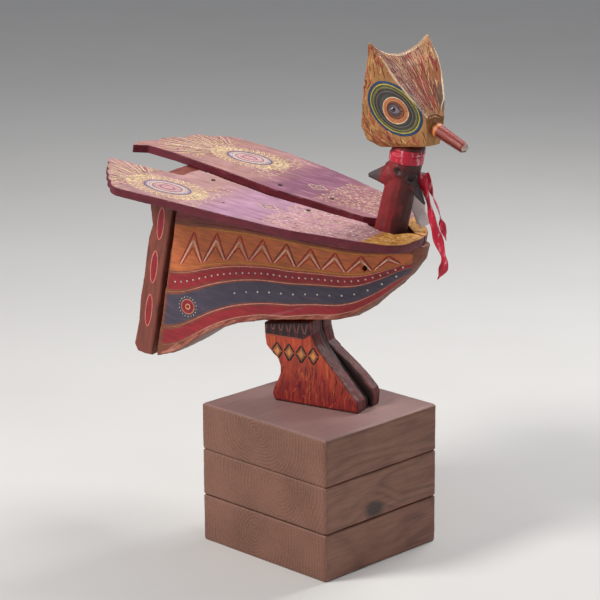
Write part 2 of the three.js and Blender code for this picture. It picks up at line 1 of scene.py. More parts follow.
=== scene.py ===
"""A painted wooden bird on a plinth of three stacked beams: its looks around the CAD frame.

Shapes are worked in millimetres in the frames below and written in metres. Each visible CAD node
gets a finely carved copy that stands for it. Broad paint is a colour attribute on that copy, and
lines and dots are raised paint with its own mesh.
"""

import math

import bmesh
import bpy
import numpy as np
from mathutils import Matrix, Vector
from mathutils.bvhtree import BVHTree


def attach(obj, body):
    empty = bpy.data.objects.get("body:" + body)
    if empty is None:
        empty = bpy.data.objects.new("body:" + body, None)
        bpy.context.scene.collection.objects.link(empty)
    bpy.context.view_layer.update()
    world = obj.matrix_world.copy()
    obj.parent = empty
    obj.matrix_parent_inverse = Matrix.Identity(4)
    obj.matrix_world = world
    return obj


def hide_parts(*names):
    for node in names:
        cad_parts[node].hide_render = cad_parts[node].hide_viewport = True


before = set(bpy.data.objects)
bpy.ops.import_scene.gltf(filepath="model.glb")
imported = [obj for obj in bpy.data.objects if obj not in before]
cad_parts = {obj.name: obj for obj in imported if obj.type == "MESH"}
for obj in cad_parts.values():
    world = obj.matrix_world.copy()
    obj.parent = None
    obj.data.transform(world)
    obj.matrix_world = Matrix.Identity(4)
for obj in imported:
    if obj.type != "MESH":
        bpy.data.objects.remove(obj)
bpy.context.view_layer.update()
rng = np.random.default_rng(11)

# ---- frames, in millimetres

FIGURE_OFFSET = 13  # the bird stands this far left of the plinth's middle
BODY_PITCH = math.radians(8.5)
NECK_LEAN = math.radians(12.8)
HEAD_TURN = math.radians(-20)
PLINTH_TURN = math.radians(-14.5)
BEAK_DROOP = math.radians(18)


class Axes:
    """A right-handed frame: its origin, and its three axes as columns."""

    def __init__(self, origin, x_axis, y_axis, z_axis):
        self.origin = np.array(origin, float)
        self.turn = np.array([x_axis, y_axis, z_axis], float).T

    def local(self, metres):
        return (np.asarray(metres) * 1000 - self.origin) @ self.turn

    def world(self, mm):
        return (self.origin + np.asarray(mm, float) @ self.turn.T) / 1000


def turned(origin, about_z=0.0, nose_down=0.0):
    """A frame turned about Z, then pitched about its own Y."""
    cz, sz = math.cos(about_z), math.sin(about_z)
    cp, sp = math.cos(nose_down), math.sin(nose_down)
    return Axes(origin, (cz * cp, sz * cp, -sp), (-sz, cz, 0), (cz * sp, sz * sp, cp))


FIGURE = turned((0, FIGURE_OFFSET, 0))
BODY = turned((0, FIGURE_OFFSET, 0), nose_down=BODY_PITCH)
NECK = turned((107, FIGURE_OFFSET, 468), nose_down=NECK_LEAN)
HEAD = turned((136, FIGURE_OFFSET, 597), about_z=HEAD_TURN)
BEAK = turned(HEAD.world((51, 0, 36)) * 1000, about_z=HEAD_TURN, nose_down=BEAK_DROOP)
PLINTH = turned((0, 0, 0), about_z=PLINTH_TURN)

# ---- camera



def add_object(name, data):
    """A new object in the scene."""
    made = bpy.data.objects.new(name, data)
    bpy.context.scene.collection.objects.link(made)
    return made


cam_data = bpy.data.cameras.new("camera")
camera = add_object("camera", cam_data)
bpy.context.scene.camera = camera
AZIMUTH, ELEVATION, ROLL = math.radians(30.23), math.radians(15.54), -0.00566
level_part = math.cos(ELEVATION)
back = Vector((math.sin(AZIMUTH) * level_part, -math.cos(AZIMUTH) * level_part, math.sin(ELEVATION)))
level = Vector((math.cos(AZIMUTH), math.sin(AZIMUTH), 0))
upright = back.cross(level)
right = math.cos(ROLL) * level + math.sin(ROLL) * upright
up = -math.sin(ROLL) * level + math.cos(ROLL) * upright
camera.matrix_world = Matrix.Translation((1.6585, -2.8989, 1.2935)) @ (
    Matrix((right, up, back)).transposed().to_4x4()
)
cam_data.lens = 145.63
cam_data.sensor_width = 36
cam_data.clip_start, cam_data.clip_end = 0.05, 50
bpy.context.scene.view_settings.view_transform = "Standard"

# ---- colour


def rgb(code):
    """Linear colour of a six-figure hex code. A linear colour is returned as it is."""
    if not isinstance(code, str):
        return code
    c = np.array([int(code[i : i + 2], 16) / 255 for i in (0, 2, 4)])
    return np.where(c <= 0.04045, c / 12.92, ((c + 0.055) / 1.055) ** 2.4)


CREAM = "e8cf9a"
GOLD = "dba23c"
PINK = "e88e80"
WHITE = "f0e4d6"
CRIMSON = "a3202b"
RED = "c02c22"
SLATE = "4c4456"
UMBER = "86482f"
NAVY = "1f3c66"
YELLOW = "dcc23c"
RUST = "8f3320"
BLACK = "120d0e"


def pick(*colours):
    """One of the colours, at random."""
    return colours[rng.integers(len(colours))]



# ---- noise


def noise(p, seed=0):
    """Smooth noise from -1 to 1 at points p."""
    cell = np.floor(p).astype(np.int64)
    f = p - cell
    f = f * f * (3 - 2 * f)
    total = np.zeros(len(p))
    for corner in range(8):
        step = np.array([corner & 1, corner >> 1 & 1, corner >> 2])
        c = cell + step
        h = c[:, 0] * 374761393 + c[:, 1] * 668265263 + c[:, 2] * 2147483629
        h = (h + seed * 974711) & 0xFFFFFFFF
        h = ((h ^ (h >> 13)) * 1274126177) & 0xFFFFFFFF
        h = (h ^ (h >> 16)) & 0xFFFF
        weight = np.prod(np.where(step, f, 1 - f), axis=1)
        total += weight * (h / 32767.5 - 1)
    return total


def ripple(p, sizes, seed=0):
    """Two octaves of noise whose features measure sizes along each axis."""
    q = p / np.array(sizes, float)
    return (noise(q, seed) + 0.5 * noise(2.1 * q, seed + 1)) / 1.5


def smooth(low, high, x):
    t = np.clip((x - low) / (high - low), 0, 1)
    return t * t * (3 - 2 * t)


def unit(vectors):
    """Vectors in rows, each one mm long."""
    return vectors / (np.linalg.norm(vectors, axis=1)[:, None] + 1e-9)


def angles(count):
    """Even steps round a circle."""
    return np.linspace(0, 2 * math.pi, count, endpoint=False)


def heading(angle):
    return np.array((math.cos(angle), math.sin(angle)))


def curve(points, spacing=2.0):
    """A smooth line through points, resampled about every spacing mm."""
    pts = np.array(points, float)
    if len(pts) < 3:
        n = max(2, int(np.linalg.norm(pts[1] - pts[0]) / spacing) + 1)
        t = np.linspace(0, 1, n)[:, None]
        return pts[0] * (1 - t) + pts[1] * t
    ends = np.vstack([2 * pts[0] - pts[1], pts, 2 * pts[-1] - pts[-2]])
    made = []
    for a, b, c, d in zip(ends, ends[1:], ends[2:], ends[3:]):
        n = max(1, int(np.linalg.norm(c - b) / spacing))
        t = (np.arange(n) / n)[:, None]
        made.append(0.5 * (2 * b + (c - a) * t + (2 * a - 5 * b + 4 * c - d) * t**2
                           + (3 * b - a - 3 * c + d) * t**3))
    made.append(pts[-1:])
    return np.vstack(made)


def loop(points, spacing=2.0):
    """A smooth closed outline through points."""
    pts = [tuple(p) for p in points]
    line = curve(pts[-2:] + pts + pts[:2], spacing)
    first = np.argmin(np.linalg.norm(line - np.array(pts[0]), axis=1))
    rest = line[first + 1 :]
    last = first + 1 + np.argmin(np.linalg.norm(rest[len(rest) // 2 :] - pts[0], axis=1))
    return line[first : last + len(rest) // 2 + 1]


def ellipse(centre, radii, count=40):
    a = np.linspace(0, 2 * math.pi, count + 1)
    return np.stack([centre[0] + radii[0] * np.cos(a), centre[1] + radii[1] * np.sin(a)], 1)


def diamond(centre, a, b):
    """A closed diamond, a wide and b high each way from its centre."""
    x, z = centre
    return np.array([(x - a, z), (x, z + b), (x + a, z), (x, z - b), (x - a, z)])


def distance_to(line, q):
    """Distance from each 2-D point of q to a line of 2-D points."""
    best = np.full(len(q), 1e9)
    for a, b in zip(line[:-1], line[1:]):
        d = b - a
        t = np.clip(((q - a) @ d) / max(d @ d, 1e-9), 0, 1)
        best = np.minimum(best, np.hypot(*(q - a - t[:, None] * d).T))
    return best


def within(outline, q):
    """True for each point of q inside a closed outline."""
    inside = np.zeros(len(q), bool)
    for a, b in zip(outline, np.roll(outline, -1, axis=0)):
        crosses = (a[1] > q[:, 1]) != (b[1] > q[:, 1])
        if not crosses.any():
            continue
        x = a[0] + (q[:, 1] - a[1]) * (b[0] - a[0]) / (b[1] - a[1] + 1e-12)
        inside ^= crosses & (q[:, 0] < x)
    return inside


# ---- surfaces that take paint

FAR = 900  # a ray towards a surface starts this far out


def face_outwards(mesh):
    edit = bmesh.new()
    edit.from_mesh(mesh)
    bmesh.ops.recalc_face_normals(edit, faces=edit.faces)
    edit.to_mesh(mesh)
    edit.free()
    mesh.update()


def tube_faces(count, size, base=0):
    """Faces of a closed tube of count rings with size points each, numbered from base."""
    faces = []
    for i in range(count - 1):
        for j in range(size):
            a, b = base + i * size + j, base + i * size + (j + 1) % size
            faces.append((a, b, b + size, a + size))
    faces.append([base + j for j in range(size)][::-1])
    faces.append([base + (count - 1) * size + j for j in range(size)])
    return faces


def new_object(name, verts, faces, axes, colours=None):
    """A smooth-shaded mesh from points in a frame, with its paint."""
    mesh = bpy.data.meshes.new(name)
    mesh.from_pydata(axes.world(verts).tolist(), [], faces)
    face_outwards(mesh)
    mesh.shade_smooth()
    if colours is not None:
        set_paint(mesh, colours)
    return add_object(name, mesh)


def set_paint(mesh, colours):
    paint = mesh.color_attributes.new("paint", "FLOAT_COLOR", "POINT")
    rgba = np.ones((len(mesh.vertices), 4), np.float32)
    rgba[:, :3] = colours
    paint.data.foreach_set("color", rgba.ravel())


class Surface:
    """A fine copy of a CAD node that stands for it, with points p and normals n in its frame."""

    def __init__(self, node, axes, voxel, name, slot, base):
        self.name, self.axes, self.slot = name, axes, slot
        coarse = add_object("coarse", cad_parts[node].data.copy())
        place = Matrix.Translation(Vector(axes.origin) / 1000) @ Matrix(axes.turn.tolist()).to_4x4()
        coarse.data.transform(place.inverted())
        weld = coarse.modifiers.new("weld", "WELD")
        weld.merge_threshold = 1e-6
        remesh = coarse.modifiers.new("remesh", "REMESH")
        remesh.mode, remesh.voxel_size = "VOXEL", voxel / 1000
        graph = bpy.context.evaluated_depsgraph_get()
        mesh = bpy.data.meshes.new_from_object(coarse.evaluated_get(graph))
        bpy.data.objects.remove(coarse)
        mesh.transform(place)
        mesh.name = name
        mesh.materials.clear()
        mesh.shade_smooth()
        self.mesh = mesh
        self.object = add_object(name, mesh)
        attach(self.object, "root")
        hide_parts(node)
        self.read()
        self.colour = np.tile(rgb(base), (len(self.p), 1))
        self.verts, self.faces, self.line_colours = [], [], []
        self.count = 0

    def read(self):
        n = len(self.mesh.vertices)
        co, normal = np.zeros(n * 3, np.float32), np.zeros(n * 3, np.float32)
        self.mesh.vertices.foreach_get("co", co)
        self.mesh.vertices.foreach_get("normal", normal)
        self.p = self.axes.local(co.reshape(-1, 3))
        self.n = normal.reshape(-1, 3) @ self.axes.turn

    def carve(self, depth):
        """Moves each point along its normal by depth, in mm."""
        self.p = self.p + self.n * depth[:, None]
        self.mesh.vertices.foreach_set("co", self.axes.world(self.p).astype(np.float32).ravel())
        self.mesh.update()
        self.read()

    def tint(self, share, colour):
        """Mixes a colour over the paint where share, from 0 to 1, says."""
        share = np.clip(share, 0, 1)[:, None]
        self.colour = self.colour * (1 - share) + rgb(colour) * share

    def mottle(self, strength, low, high, sizes, seed, colour, at=None):
        """Mixes in a colour where noise at the surface's points, or at others, lies above low."""
        patches = ripple(self.p if at is None else at, sizes, seed)
        self.tint(strength * smooth(low, high, patches), colour)

    def tree(self):
        faces = [list(f.vertices) for f in self.mesh.polygons]
        return BVHTree.FromPolygons([Vector(v) for v in self.p], faces)

    def finish(self, material, line_material=None):
        set_paint(self.mesh, np.clip(self.colour, 0, 1))
        self.object.data.materials.append(material)
        if not self.verts:
            return
        lines = new_object(self.name + "_linework", np.vstack(self.verts), self.faces, self.axes,
                           np.vstack(self.line_colours))
        lines.data.materials.append(line_material or material)
        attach(lines, "root")


class Side:
    """One side of a surface, seen square on: a and b are two of its frame's axes."""

    def __init__(self, surface, across, a=0, b=2, sign=1, tree=None, reach=0.25):
        self.s, self.across, self.a, self.b, self.sign = surface, across, a, b, sign
        self.tree = tree or surface.tree()
        self.facing = smooth(reach, reach + 0.3, surface.n[:, across] * sign)
        self.q = surface.p[:, [a, b]]

    def near(self, line, margin):
        low, high = line.min(0) - margin, line.max(0) + margin
        return np.nonzero((self.facing > 0) & (self.q >= low).all(1) & (self.q <= high).all(1))[0]

    def put(self, index, share, colour):
        share = (np.clip(share, 0, 1) * self.facing[index])[:, None]
        self.s.colour[index] = self.s.colour[index] * (1 - share) + rgb(colour) * share

    def fill(self, outline, colour, soft=0.8, strength=1.0):
        """Paints inside a closed outline."""
        outline = np.asarray(outline, float)
        i = self.near(outline, soft)
        if not len(i):
            return
        q = self.q[i]
        edge = distance_to(np.vstack([outline, outline[:1]]), q)
        depth = np.where(within(outline, q), edge, -edge)
        self.put(i, strength * smooth(-soft, soft, depth), colour)

    def brush(self, line, width, colour, soft=0.7, strength=1.0):
        """Paints along a line, without relief."""
        line = np.asarray(line, float)
        i = self.near(line, width)
        if len(i):
            d = distance_to(line, self.q[i])
            self.put(i, strength * smooth(width / 2 + soft, width / 2 - soft, d), colour)

    def hit(self, q):
        origin = np.zeros(3)
        origin[[self.a, self.b]] = q
        origin[self.across] = self.sign * FAR
        ray = np.zeros(3)
        ray[self.across] = -self.sign
        place, normal, _, _ = self.tree.ray_cast(Vector(origin), Vector(ray))
        if place is None or normal[self.across] * self.sign < 0.12:
            return None
        return np.array(place), np.array(normal)

    def stroke(self, line, width, colour, height=0.35, taper=0.25, spacing=2.0, wobble=0.12):
        """A raised line of paint along a line of 2-D points."""
        line = curve(line, spacing)
        hits = [self.hit(q) for q in line]
        run = []
        for i, found in enumerate(hits + [None]):
            if found is None or (run and np.linalg.norm(found[0] - hits[run[-1]][0]) > 4 * spacing):
                if len(run) > 2:
                    self.strip([hits[k] for k in run], width, colour, height, taper, wobble)
                run = []
            if found is not None:
                run.append(i)

    def edges(self, outline, width, colour, taper):
        """A stroke along each straight edge of an outline."""
        for start, end in zip(outline, outline[1:]):
            self.stroke([start, end], width, colour, taper=taper)

    def strip(self, hits, width, colour, height, taper, wobble):
        """One unbroken stroke: a low domed tube whose underside is sunk in the surface."""
        p = np.array([h[0] for h in hits])
        n = np.array([h[1] for h in hits])
        n[1:-1] = (n[:-2] + n[1:-1] + n[2:]) / 3
        n = unit(n)
        side = unit(np.cross(n, np.gradient(p, axis=0)))
        t = np.linspace(0, 1, len(p))
        size = np.ones(len(p))
        if taper > 0:
            size = 0.2 + 0.8 * smooth(0, taper, t) * smooth(0, taper, 1 - t)
        size = size * (1 + wobble * rng.normal(size=len(p)))
        half = (width / 2 * np.clip(size, 0.15, 1.4))[:, None]
        rise = (height * (0.4 + 0.6 * np.clip(size, 0, 1)))[:, None]
        out, brow, foot = side * half, side * half * 0.45, n * 0.12
        rings = [p + out - foot, p + brow + n * rise, p - brow + n * rise, p - out - foot, p - n * 0.7]
        self.add_rings(np.stack(rings, 1), colour)

    def add_rings(self, rings, colour):
        """A closed tube of rings, its shade changing a little from stroke to stroke."""
        count, size = rings.shape[:2]
        self.s.verts.append(rings.reshape(-1, 3))
        self.s.faces += tube_faces(count, size, self.s.count)
        shade = np.clip(rgb(colour) * (1 + 0.12 * rng.normal()), 0, 1)
        self.s.line_colours.append(np.tile(shade, (count * size, 1)))
        self.s.count += count * size

    def dot(self, centre, radius, colour, height=0.6, sides=8):
        """A domed spot of paint."""
        found = self.hit(np.array(centre, float))
        if found is None:
            return
        p, n = found
        x = np.cross(n, (0.3, 0.2, 0.9))
        x /= np.linalg.norm(x)
        y = np.cross(n, x)
        a = angles(sides)[:, None]
        circle = np.cos(a) * x + np.sin(a) * y
        rings = [
            p - n * 0.8 + circle * radius * 0.5,
            p - n * 0.15 + circle * radius,
            p + n * height * 0.7 + circle * radius * 0.75,
            p + n * height + circle * radius * 0.25,
        ]
        self.add_rings(np.array(rings), colour)


# ---- materials


class Nodes:
    """A material's node tree, with short ways to add to it."""

    def __init__(self, name):
        self.material = bpy.data.materials.new(name)
        self.material.use_nodes = True
        self.tree = self.material.node_tree
        self.shader = self.tree.nodes["Principled BSDF"]

    def add(self, kind, inputs=(), **settings):
        node = self.tree.nodes.new(kind)
        for key, value in settings.items():
            setattr(node, key, value)
        for key, value in dict(inputs).items():
            self.set(node.inputs[key], value)
        return node

    def set(self, socket, value):
        if isinstance(value, bpy.types.NodeSocket):
            self.tree.links.new(value, socket)
        else:
            socket.default_value = value

    def place(self, axes=None):
        """Object coordinates, turned into a frame."""
        where = self.add("ShaderNodeTexCoord").outputs["Object"]
        if axes is None:
            return where
        turn = Matrix(axes.turn.T.tolist()).to_euler()
        origin = Vector((-(axes.origin @ axes.turn) / 1000).tolist())
        inputs = {"Vector": where, "Rotation": turn, "Location": origin}
        return self.add("ShaderNodeMapping", inputs).outputs["Vector"]

    def paint(self):
        """The paint that the mesh carries."""
        return self.add("ShaderNodeAttribute", attribute_name="paint").outputs["Color"]

    def noise(self, where, scale, detail=4.0, stretch=(1, 1, 1)):
        if stretch != (1, 1, 1):
            where = self.add("ShaderNodeMapping", {"Vector": where, "Scale": stretch}).outputs["Vector"]
        inputs = {"Vector": where, "Scale": scale, "Detail": detail, "Roughness": 0.55}
        return self.add("ShaderNodeTexNoise", inputs).outputs["Fac"]

    def math(self, operation, a, b=0.0, clamp=False):
        node = self.add("ShaderNodeMath", operation=operation, use_clamp=clamp)
        self.set(node.inputs[0], a)
        self.set(node.inputs[1], b)
        return node.outputs[0]

    def times(self, a, b, clamp=False):
        return self.math("MULTIPLY", a, b, clamp)

    def away(self, a, b):
        """Distance from a line, given as distances a and b from two planes through it."""
        return self.math("SQRT", self.math("ADD", self.times(a, a), self.times(b, b)))

    def span(self, value, low, high, to_low=0.0, to_high=1.0):
        inputs = {"Value": value, "From Min": low, "From Max": high, "To Min": to_low, "To Max": to_high}
        return self.add("ShaderNodeMapRange", inputs).outputs["Result"]

    def spread(self, noise, to_low=0.0, to_high=1.0):
        """The middle of a noise, where most of its values lie, spread from to_low to to_high."""
        return self.span(noise, 0.3, 0.7, to_low, to_high)

    def mix(self, share, a, b, blend="MIX"):
        node = self.add("ShaderNodeMix", data_type="RGBA", blend_type=blend)
        self.set(node.inputs[0], share)
        for socket, value in ((node.inputs[6], a), (node.inputs[7], b)):
            if not isinstance(value, bpy.types.NodeSocket):
                value = (*rgb(value), 1)
            self.set(socket, value)
        return node.outputs[2]

    def shaded(self, colour, shade):
        """A colour made lighter or darker by a factor."""
        grey = self.add("ShaderNodeCombineColor", {"Red": shade, "Green": shade, "Blue": shade})
        return self.mix(1.0, colour, grey.outputs["Color"], "MULTIPLY")

    def bump(self, height, strength, distance=0.001, under=None):
        inputs = {"Height": height, "Strength": strength, "Distance": distance}
        if under is not None:
            inputs["Normal"] = under
        return self.add("ShaderNodeBump", inputs).outputs["Normal"]

    def finish(self, colour, roughness, normal=None, **constants):
        self.set(self.shader.inputs["Base Color"], colour)
        self.set(self.shader.inputs["Roughness"], roughness)
        if normal is not None:
            self.set(self.shader.inputs["Normal"], normal)
        for key, value in constants.items():
            self.shader.inputs[key.replace("_", " ")].default_value = value
        return self.material


def painted_wood(name, axes, stretch, wear=0.5, gloss=0.5, bare=UMBER, relief=0.5):
    """Brushed paint on carved wood: streaks along the grain, thin spots and small chips."""
    m = Nodes(name)
    where = m.place(axes)
    streaks = m.noise(where, 260, 5, stretch)
    mottle = m.noise(where, 45, 4)
    speck = m.noise(where, 900, 3)
    shade = m.times(m.spread(streaks, 0.72, 1.16), m.spread(mottle, 0.86, 1.12))
    shade = m.times(shade, m.spread(speck, 0.93, 1.07))
    # chips where the paint is worn through to the bare wood
    overlay_mask = m.times(m.span(streaks, 0.58, 0.7), m.span(mottle, 0.5, 0.62), clamp=True)
    colour = m.mix(m.times(overlay_mask, wear), m.shaded(m.paint(), shade), bare)
    rough = m.spread(mottle, 0.62 - 0.25 * gloss, 0.78 - 0.25 * gloss)
    normal = m.bump(streaks, relief, 0.0008)
    normal = m.bump(speck, 0.25, 0.0003, normal)
    return m.finish(colour, rough, normal, Coat_Weight=0.12, Coat_Roughness=0.35)


def raised_paint(name):
    """Thick brushed paint, a little glossier than the ground."""
    m = Nodes(name)
    where = m.place()
    streaks = m.noise(where, 700, 4)
    blotch = m.noise(where, 160, 3)
    shade = m.times(m.spread(streaks, 0.84, 1.12), m.spread(blotch, 0.8, 1.12))
    rough = m.spread(blotch, 0.4, 0.6)
    return m.finish(m.shaded(m.paint(), shade), rough, m.bump(streaks, 0.3, 0.0003), Coat_Weight=0.1,
                    Coat_Roughness=0.3)


RING_GAP = 0.0052  # metres between growth rings


def beam_wood(name, pith, knot=None):
    """Softwood sawn round its heart: rings about a pith that runs along the plinth's Y."""
    m = Nodes(name)
    where = m.place(PLINTH)
    warp = m.noise(where, 9, 2, (1, 0.35, 1))
    split = m.add("ShaderNodeSeparateXYZ", {"Vector": where}).outputs
    wander = m.times(m.math("SUBTRACT", warp, 0.5), 0.05)
    x = m.math("ADD", m.math("SUBTRACT", split["X"], pith[0] / 1000), wander)
    z = m.math("ADD", m.math("SUBTRACT", split["Z"], pith[1] / 1000), m.times(wander, 0.6))
    radius = m.away(x, z)
    if knot:
        y_off = m.math("SUBTRACT", split["Y"], knot[0] / 1000)
        z_off = m.times(m.math("SUBTRACT", split["Z"], knot[1] / 1000), 1.7)
        from_knot = m.away(y_off, z_off)
        swirl = m.times(m.span(from_knot, 0.0, 0.055, 1.0, 0.0), 0.012)
        radius = m.math("ADD", radius, swirl)
    ring = m.math("SINE", m.times(radius, 2 * math.pi / RING_GAP))
    late = m.math("POWER", m.span(ring, -1, 1), 2.2)
    fibre = m.noise(where, 420, 6, (1, 0.045, 1))
    blotch = m.noise(where, 14, 4)
    colour = m.mix(m.times(late, 0.55), "8d5f4b", "5f3a2c")
    colour = m.mix(m.span(fibre, 0.35, 0.7, 0.0, 0.5), colour, "4d2f25")
    colour = m.mix(m.span(blotch, 0.35, 0.7, 0.0, 0.35), colour, "a87763")
    # painted sheen: a pale grey mixed over the top face of the top beam stands for the light's reflection on
    # it
    overlay_mask = m.span(split["Z"], 0.2075, 0.2095, 0.0, 0.4)
    colour = m.mix(overlay_mask, colour, "b5989a")
    if knot:
        dark = m.span(from_knot, 0.012, 0.024, 0.85, 0.0)
        colour = m.mix(dark, colour, "2c2326")
    rough = m.spread(fibre, 0.5, 0.72)
    normal = m.bump(fibre, 0.35, 0.0006)
    normal = m.bump(late, 0.25, 0.0005, normal)
    return m.finish(colour, rough, normal, Coat_Weight=0.2, Coat_Roughness=0.35)


def satin(name, colour, light):
    """Woven satin ribbon: fine cross threads, soft sheen, and a painted highlight that makes it lighter
    where it creases.
    """
    m = Nodes(name)
    where = m.place()
    crease = m.noise(where, 160, 4, (1, 1, 0.35))
    threads = {"Vector": where, "Scale": 900, "Distortion": 0.4}
    weave = m.add("ShaderNodeTexWave", threads, bands_direction="Z").outputs["Fac"]
    # painted highlight: the light colour is mixed in where the crease noise is high
    base = m.mix(m.span(crease, 0.54, 0.66), colour, light)
    base = m.mix(m.span(weave, 0, 1, 0.0, 0.12), base, 0.4 * rgb(colour))
    rough = m.spread(crease, 0.32, 0.5)
    normal = m.bump(crease, 0.6, 0.001)
    normal = m.bump(weave, 0.2, 0.0002, normal)
    return m.finish(base, rough, normal, Sheen_Weight=0.3, Sheen_Roughness=0.4)


def plain_wood(name, colour, dark):
    """Bare turned wood with a fine upright grain."""
    m = Nodes(name)
    grain = m.noise(m.place(), 300, 5, (1, 1, 0.08))
    base = m.mix(m.span(grain, 0.3, 0.7), colour, dark)
    return m.finish(base, m.spread(grain, 0.55, 0.8), m.bump(grain, 0.3, 0.0005))


def old_steel(name):
    """Dull steel with rusty patches."""
    m = Nodes(name)
    rust = m.noise(m.place(), 700, 5)
    base = m.mix(m.span(rust, 0.4, 0.62), "55504e", "5a2c1c")
    return m.finish(base, m.spread(rust, 0.35, 0.8), m.bump(rust, 0.4, 0.0004), Metallic=0.6)


raised = raised_paint("raised_paint")

# ---- body and tail slat

RIGHT, LEFT = -1, 1
ROW_STEP = 6.0  # mm between the places where a side's edges are read
ZIGZAGS = 9


class Rows:
    """Levels between the lower (0) and upper (1) edge of a side, read from the piece itself."""

    def __init__(self, side):
        flat = side.q[side.facing > 0.5]
        self.at = np.arange(flat[:, 0].min() + ROW_STEP, flat[:, 0].max() - ROW_STEP, ROW_STEP)
        near = [flat[np.abs(flat[:, 0] - u) < ROW_STEP, 1] for u in self.at]
        self.low = self.even([v.min() for v in near])
        self.high = self.even([v.max() for v in near])

    @staticmethod
    def even(values):
        padded = np.pad(np.array(values), 3, mode="edge")
        return np.convolve(padded, np.ones(7) / 7, mode="valid")

    def place(self, along, share):
        u = self.at[0] + along * (self.at[-1] - self.at[0])
        low, high = np.interp(u, self.at, self.low), np.interp(u, self.at, self.high)
        return np.array((u, low + share * (high - low)))

    def line(self, share, start=0.0, end=1.0):
        return np.array([self.place(a, share) for a in np.linspace(start, end, 60)])

    def area(self, low, high, start=0.0, end=1.0):
        return np.vstack([self.line(low, start, end), self.line(high, start, end)[::-1]])


def target(side, centre, size):
    """A disc with rings and a circle of dots."""
    side.fill(ellipse(centre, (size, size)), "a81f30")
    for share, colour in ((1.0, "e0a070"), (0.66, "7a1c2c"), (0.33, "e6bf78")):
        side.stroke(ellipse(centre, (size * share, size * share), 28), 1.6, colour, taper=0)
    for a in angles(18):
        side.dot(centre + 1.35 * size * heading(a), 0.9, WHITE)


def paint_body_side(side):
    """Plain rows of colour, dots and zigzags that follow the edges of one side."""
    rows = Rows(side)
    for low, high, colour in (
        (0.07, 0.15, CRIMSON), (0.18, 0.36, SLATE), (0.39, 0.48, CRIMSON), (0.50, 0.77, "d6733f"),
        (0.80, 1.02, "883436"),
    ):
        side.fill(rows.area(low, high), colour, soft=1)
    for share, width, colour in (
        (0.06, 1.6, PINK), (0.165, 1.8, PINK), (0.375, 1.8, PINK), (0.49, 2.0, PINK), (0.52, 1.6, GOLD),
        (0.76, 1.6, GOLD), (0.79, 2.0, "8a2c26"),
    ):
        side.stroke(rows.line(share), width, colour)
    for level, start, end, count in ((0.435, 0.03, 0.97, 36), (0.27, 0.3, 0.95, 14)):
        for along in np.linspace(start, end, count):
            side.dot(rows.place(along, level), 1.6, WHITE)
    target(side, rows.place(0.1, 0.27), 11)
    step = 0.92 / ZIGZAGS
    for k in range(ZIGZAGS):
        start = 0.04 + k * step
        for inset, colour, width in ((0.0, "b02a20", 3.0), (0.05, "f2c3a4", 3.2), (0.1, RED, 2.2)):
            foot = rows.place(start + inset * step, 0.54)
            peak = rows.place(start + step / 2, 0.74 - inset)
            far = rows.place(start + (1 - inset) * step, 0.54)
            side.edges([foot, peak, far], width, colour, 0.1)
    for _ in range(150):  # flowing strokes under the wing
        along, share, run = rng.uniform(0, 0.95), rng.uniform(0.82, 0.99), rng.uniform(0.03, 0.1)
        tone = pick("8a3038", "a0584a", "3c141c", "b4814c", "8c6a70")
        line = [rows.place(along, share), rows.place(along + run / 2, share - 0.01),
                rows.place(min(1, along + run), share)]
        side.stroke(line, rng.uniform(0.9, 1.9), tone, height=0.22)
    for _ in range(110):  # loose brush marks along the bare lower edge
        along = rng.uniform(0, 0.94)
        line = curve([rows.place(along, 0.01), rows.place(along + 0.05, rng.uniform(0.02, 0.06))])
        side.brush(line, rng.uniform(1.5, 3), pick("c4745c", "d8907a", "a03a34"), strength=0.5)


def carve_board(surface, along=(26, 7, 7), amount=0.35, edge=0.7):
    """Gouge marks along the board, deeper round its edges."""
    p = surface.p
    rim = smooth(0.75, 0.35, np.abs(surface.n[:, 1]))
    depth = amount * ripple(p, along, 3) + 0.14 * ripple(p, (3.5, 3.5, 3.5), 9)
    surface.carve(depth + edge * rim * ripple(p, (13, 40, 11), 21))


body = Surface("body_block", BODY, 1.9, "carved_body", "body_paint", UMBER)
carve_board(body)
body.mottle(0.35, -0.1, 0.6, (60, 9, 4), 31, "a9684a")
body.mottle(0.45, 0.0, 0.7, (25, 12, 9), 41, "5e3326")
body.tint(0.7 * smooth(0.3, -0.5, body.n[:, 2]) * smooth(0.6, 0.3, np.abs(body.n[:, 1])), "7c4c3a")
body_tree = body.tree()
for sign in (RIGHT, LEFT):
    paint_body_side(Side(body, 1, 0, 2, sign, body_tree, reach=0.35))

slat = Surface("tail_slat", BODY, 1.6, "carved_tail_slat", "body_paint", "8a4536")
carve_board(slat, (9, 7, 30))
slat.mottle(0.5, 0, 0.6, (7, 7, 26), 5, "6a3426")
SLAT_OVALS = 3
slat_tree = slat.tree()
for sign in (RIGHT, LEFT):
    side = Side(slat, 1, 0, 2, sign, slat_tree, reach=0.35)
    face = side.q[side.facing > 0.5]
    foot, top = face[:, 1].min(), face[:, 1].max()
    gap = (top - foot) / (SLAT_OVALS + 1)
    for k in range(SLAT_OVALS):
        level = foot + (k + 1) * gap
        middle = face[np.abs(face[:, 1] - level) < ROW_STEP, 0].mean()
        oval = ellipse((middle, level), (5.5, gap * 0.36))
        side.fill(oval, CRIMSON)
        side.stroke(oval, 1.7, PINK, taper=0)

body_material = painted_wood("body_paint", BODY, (0.16, 1, 1), wear=0.55, relief=0.6)
body.finish(body_material, raised)
slat.finish(painted_wood("slat_paint", BODY, (1, 1, 0.16), wear=0.55), raised)

# ---- wings


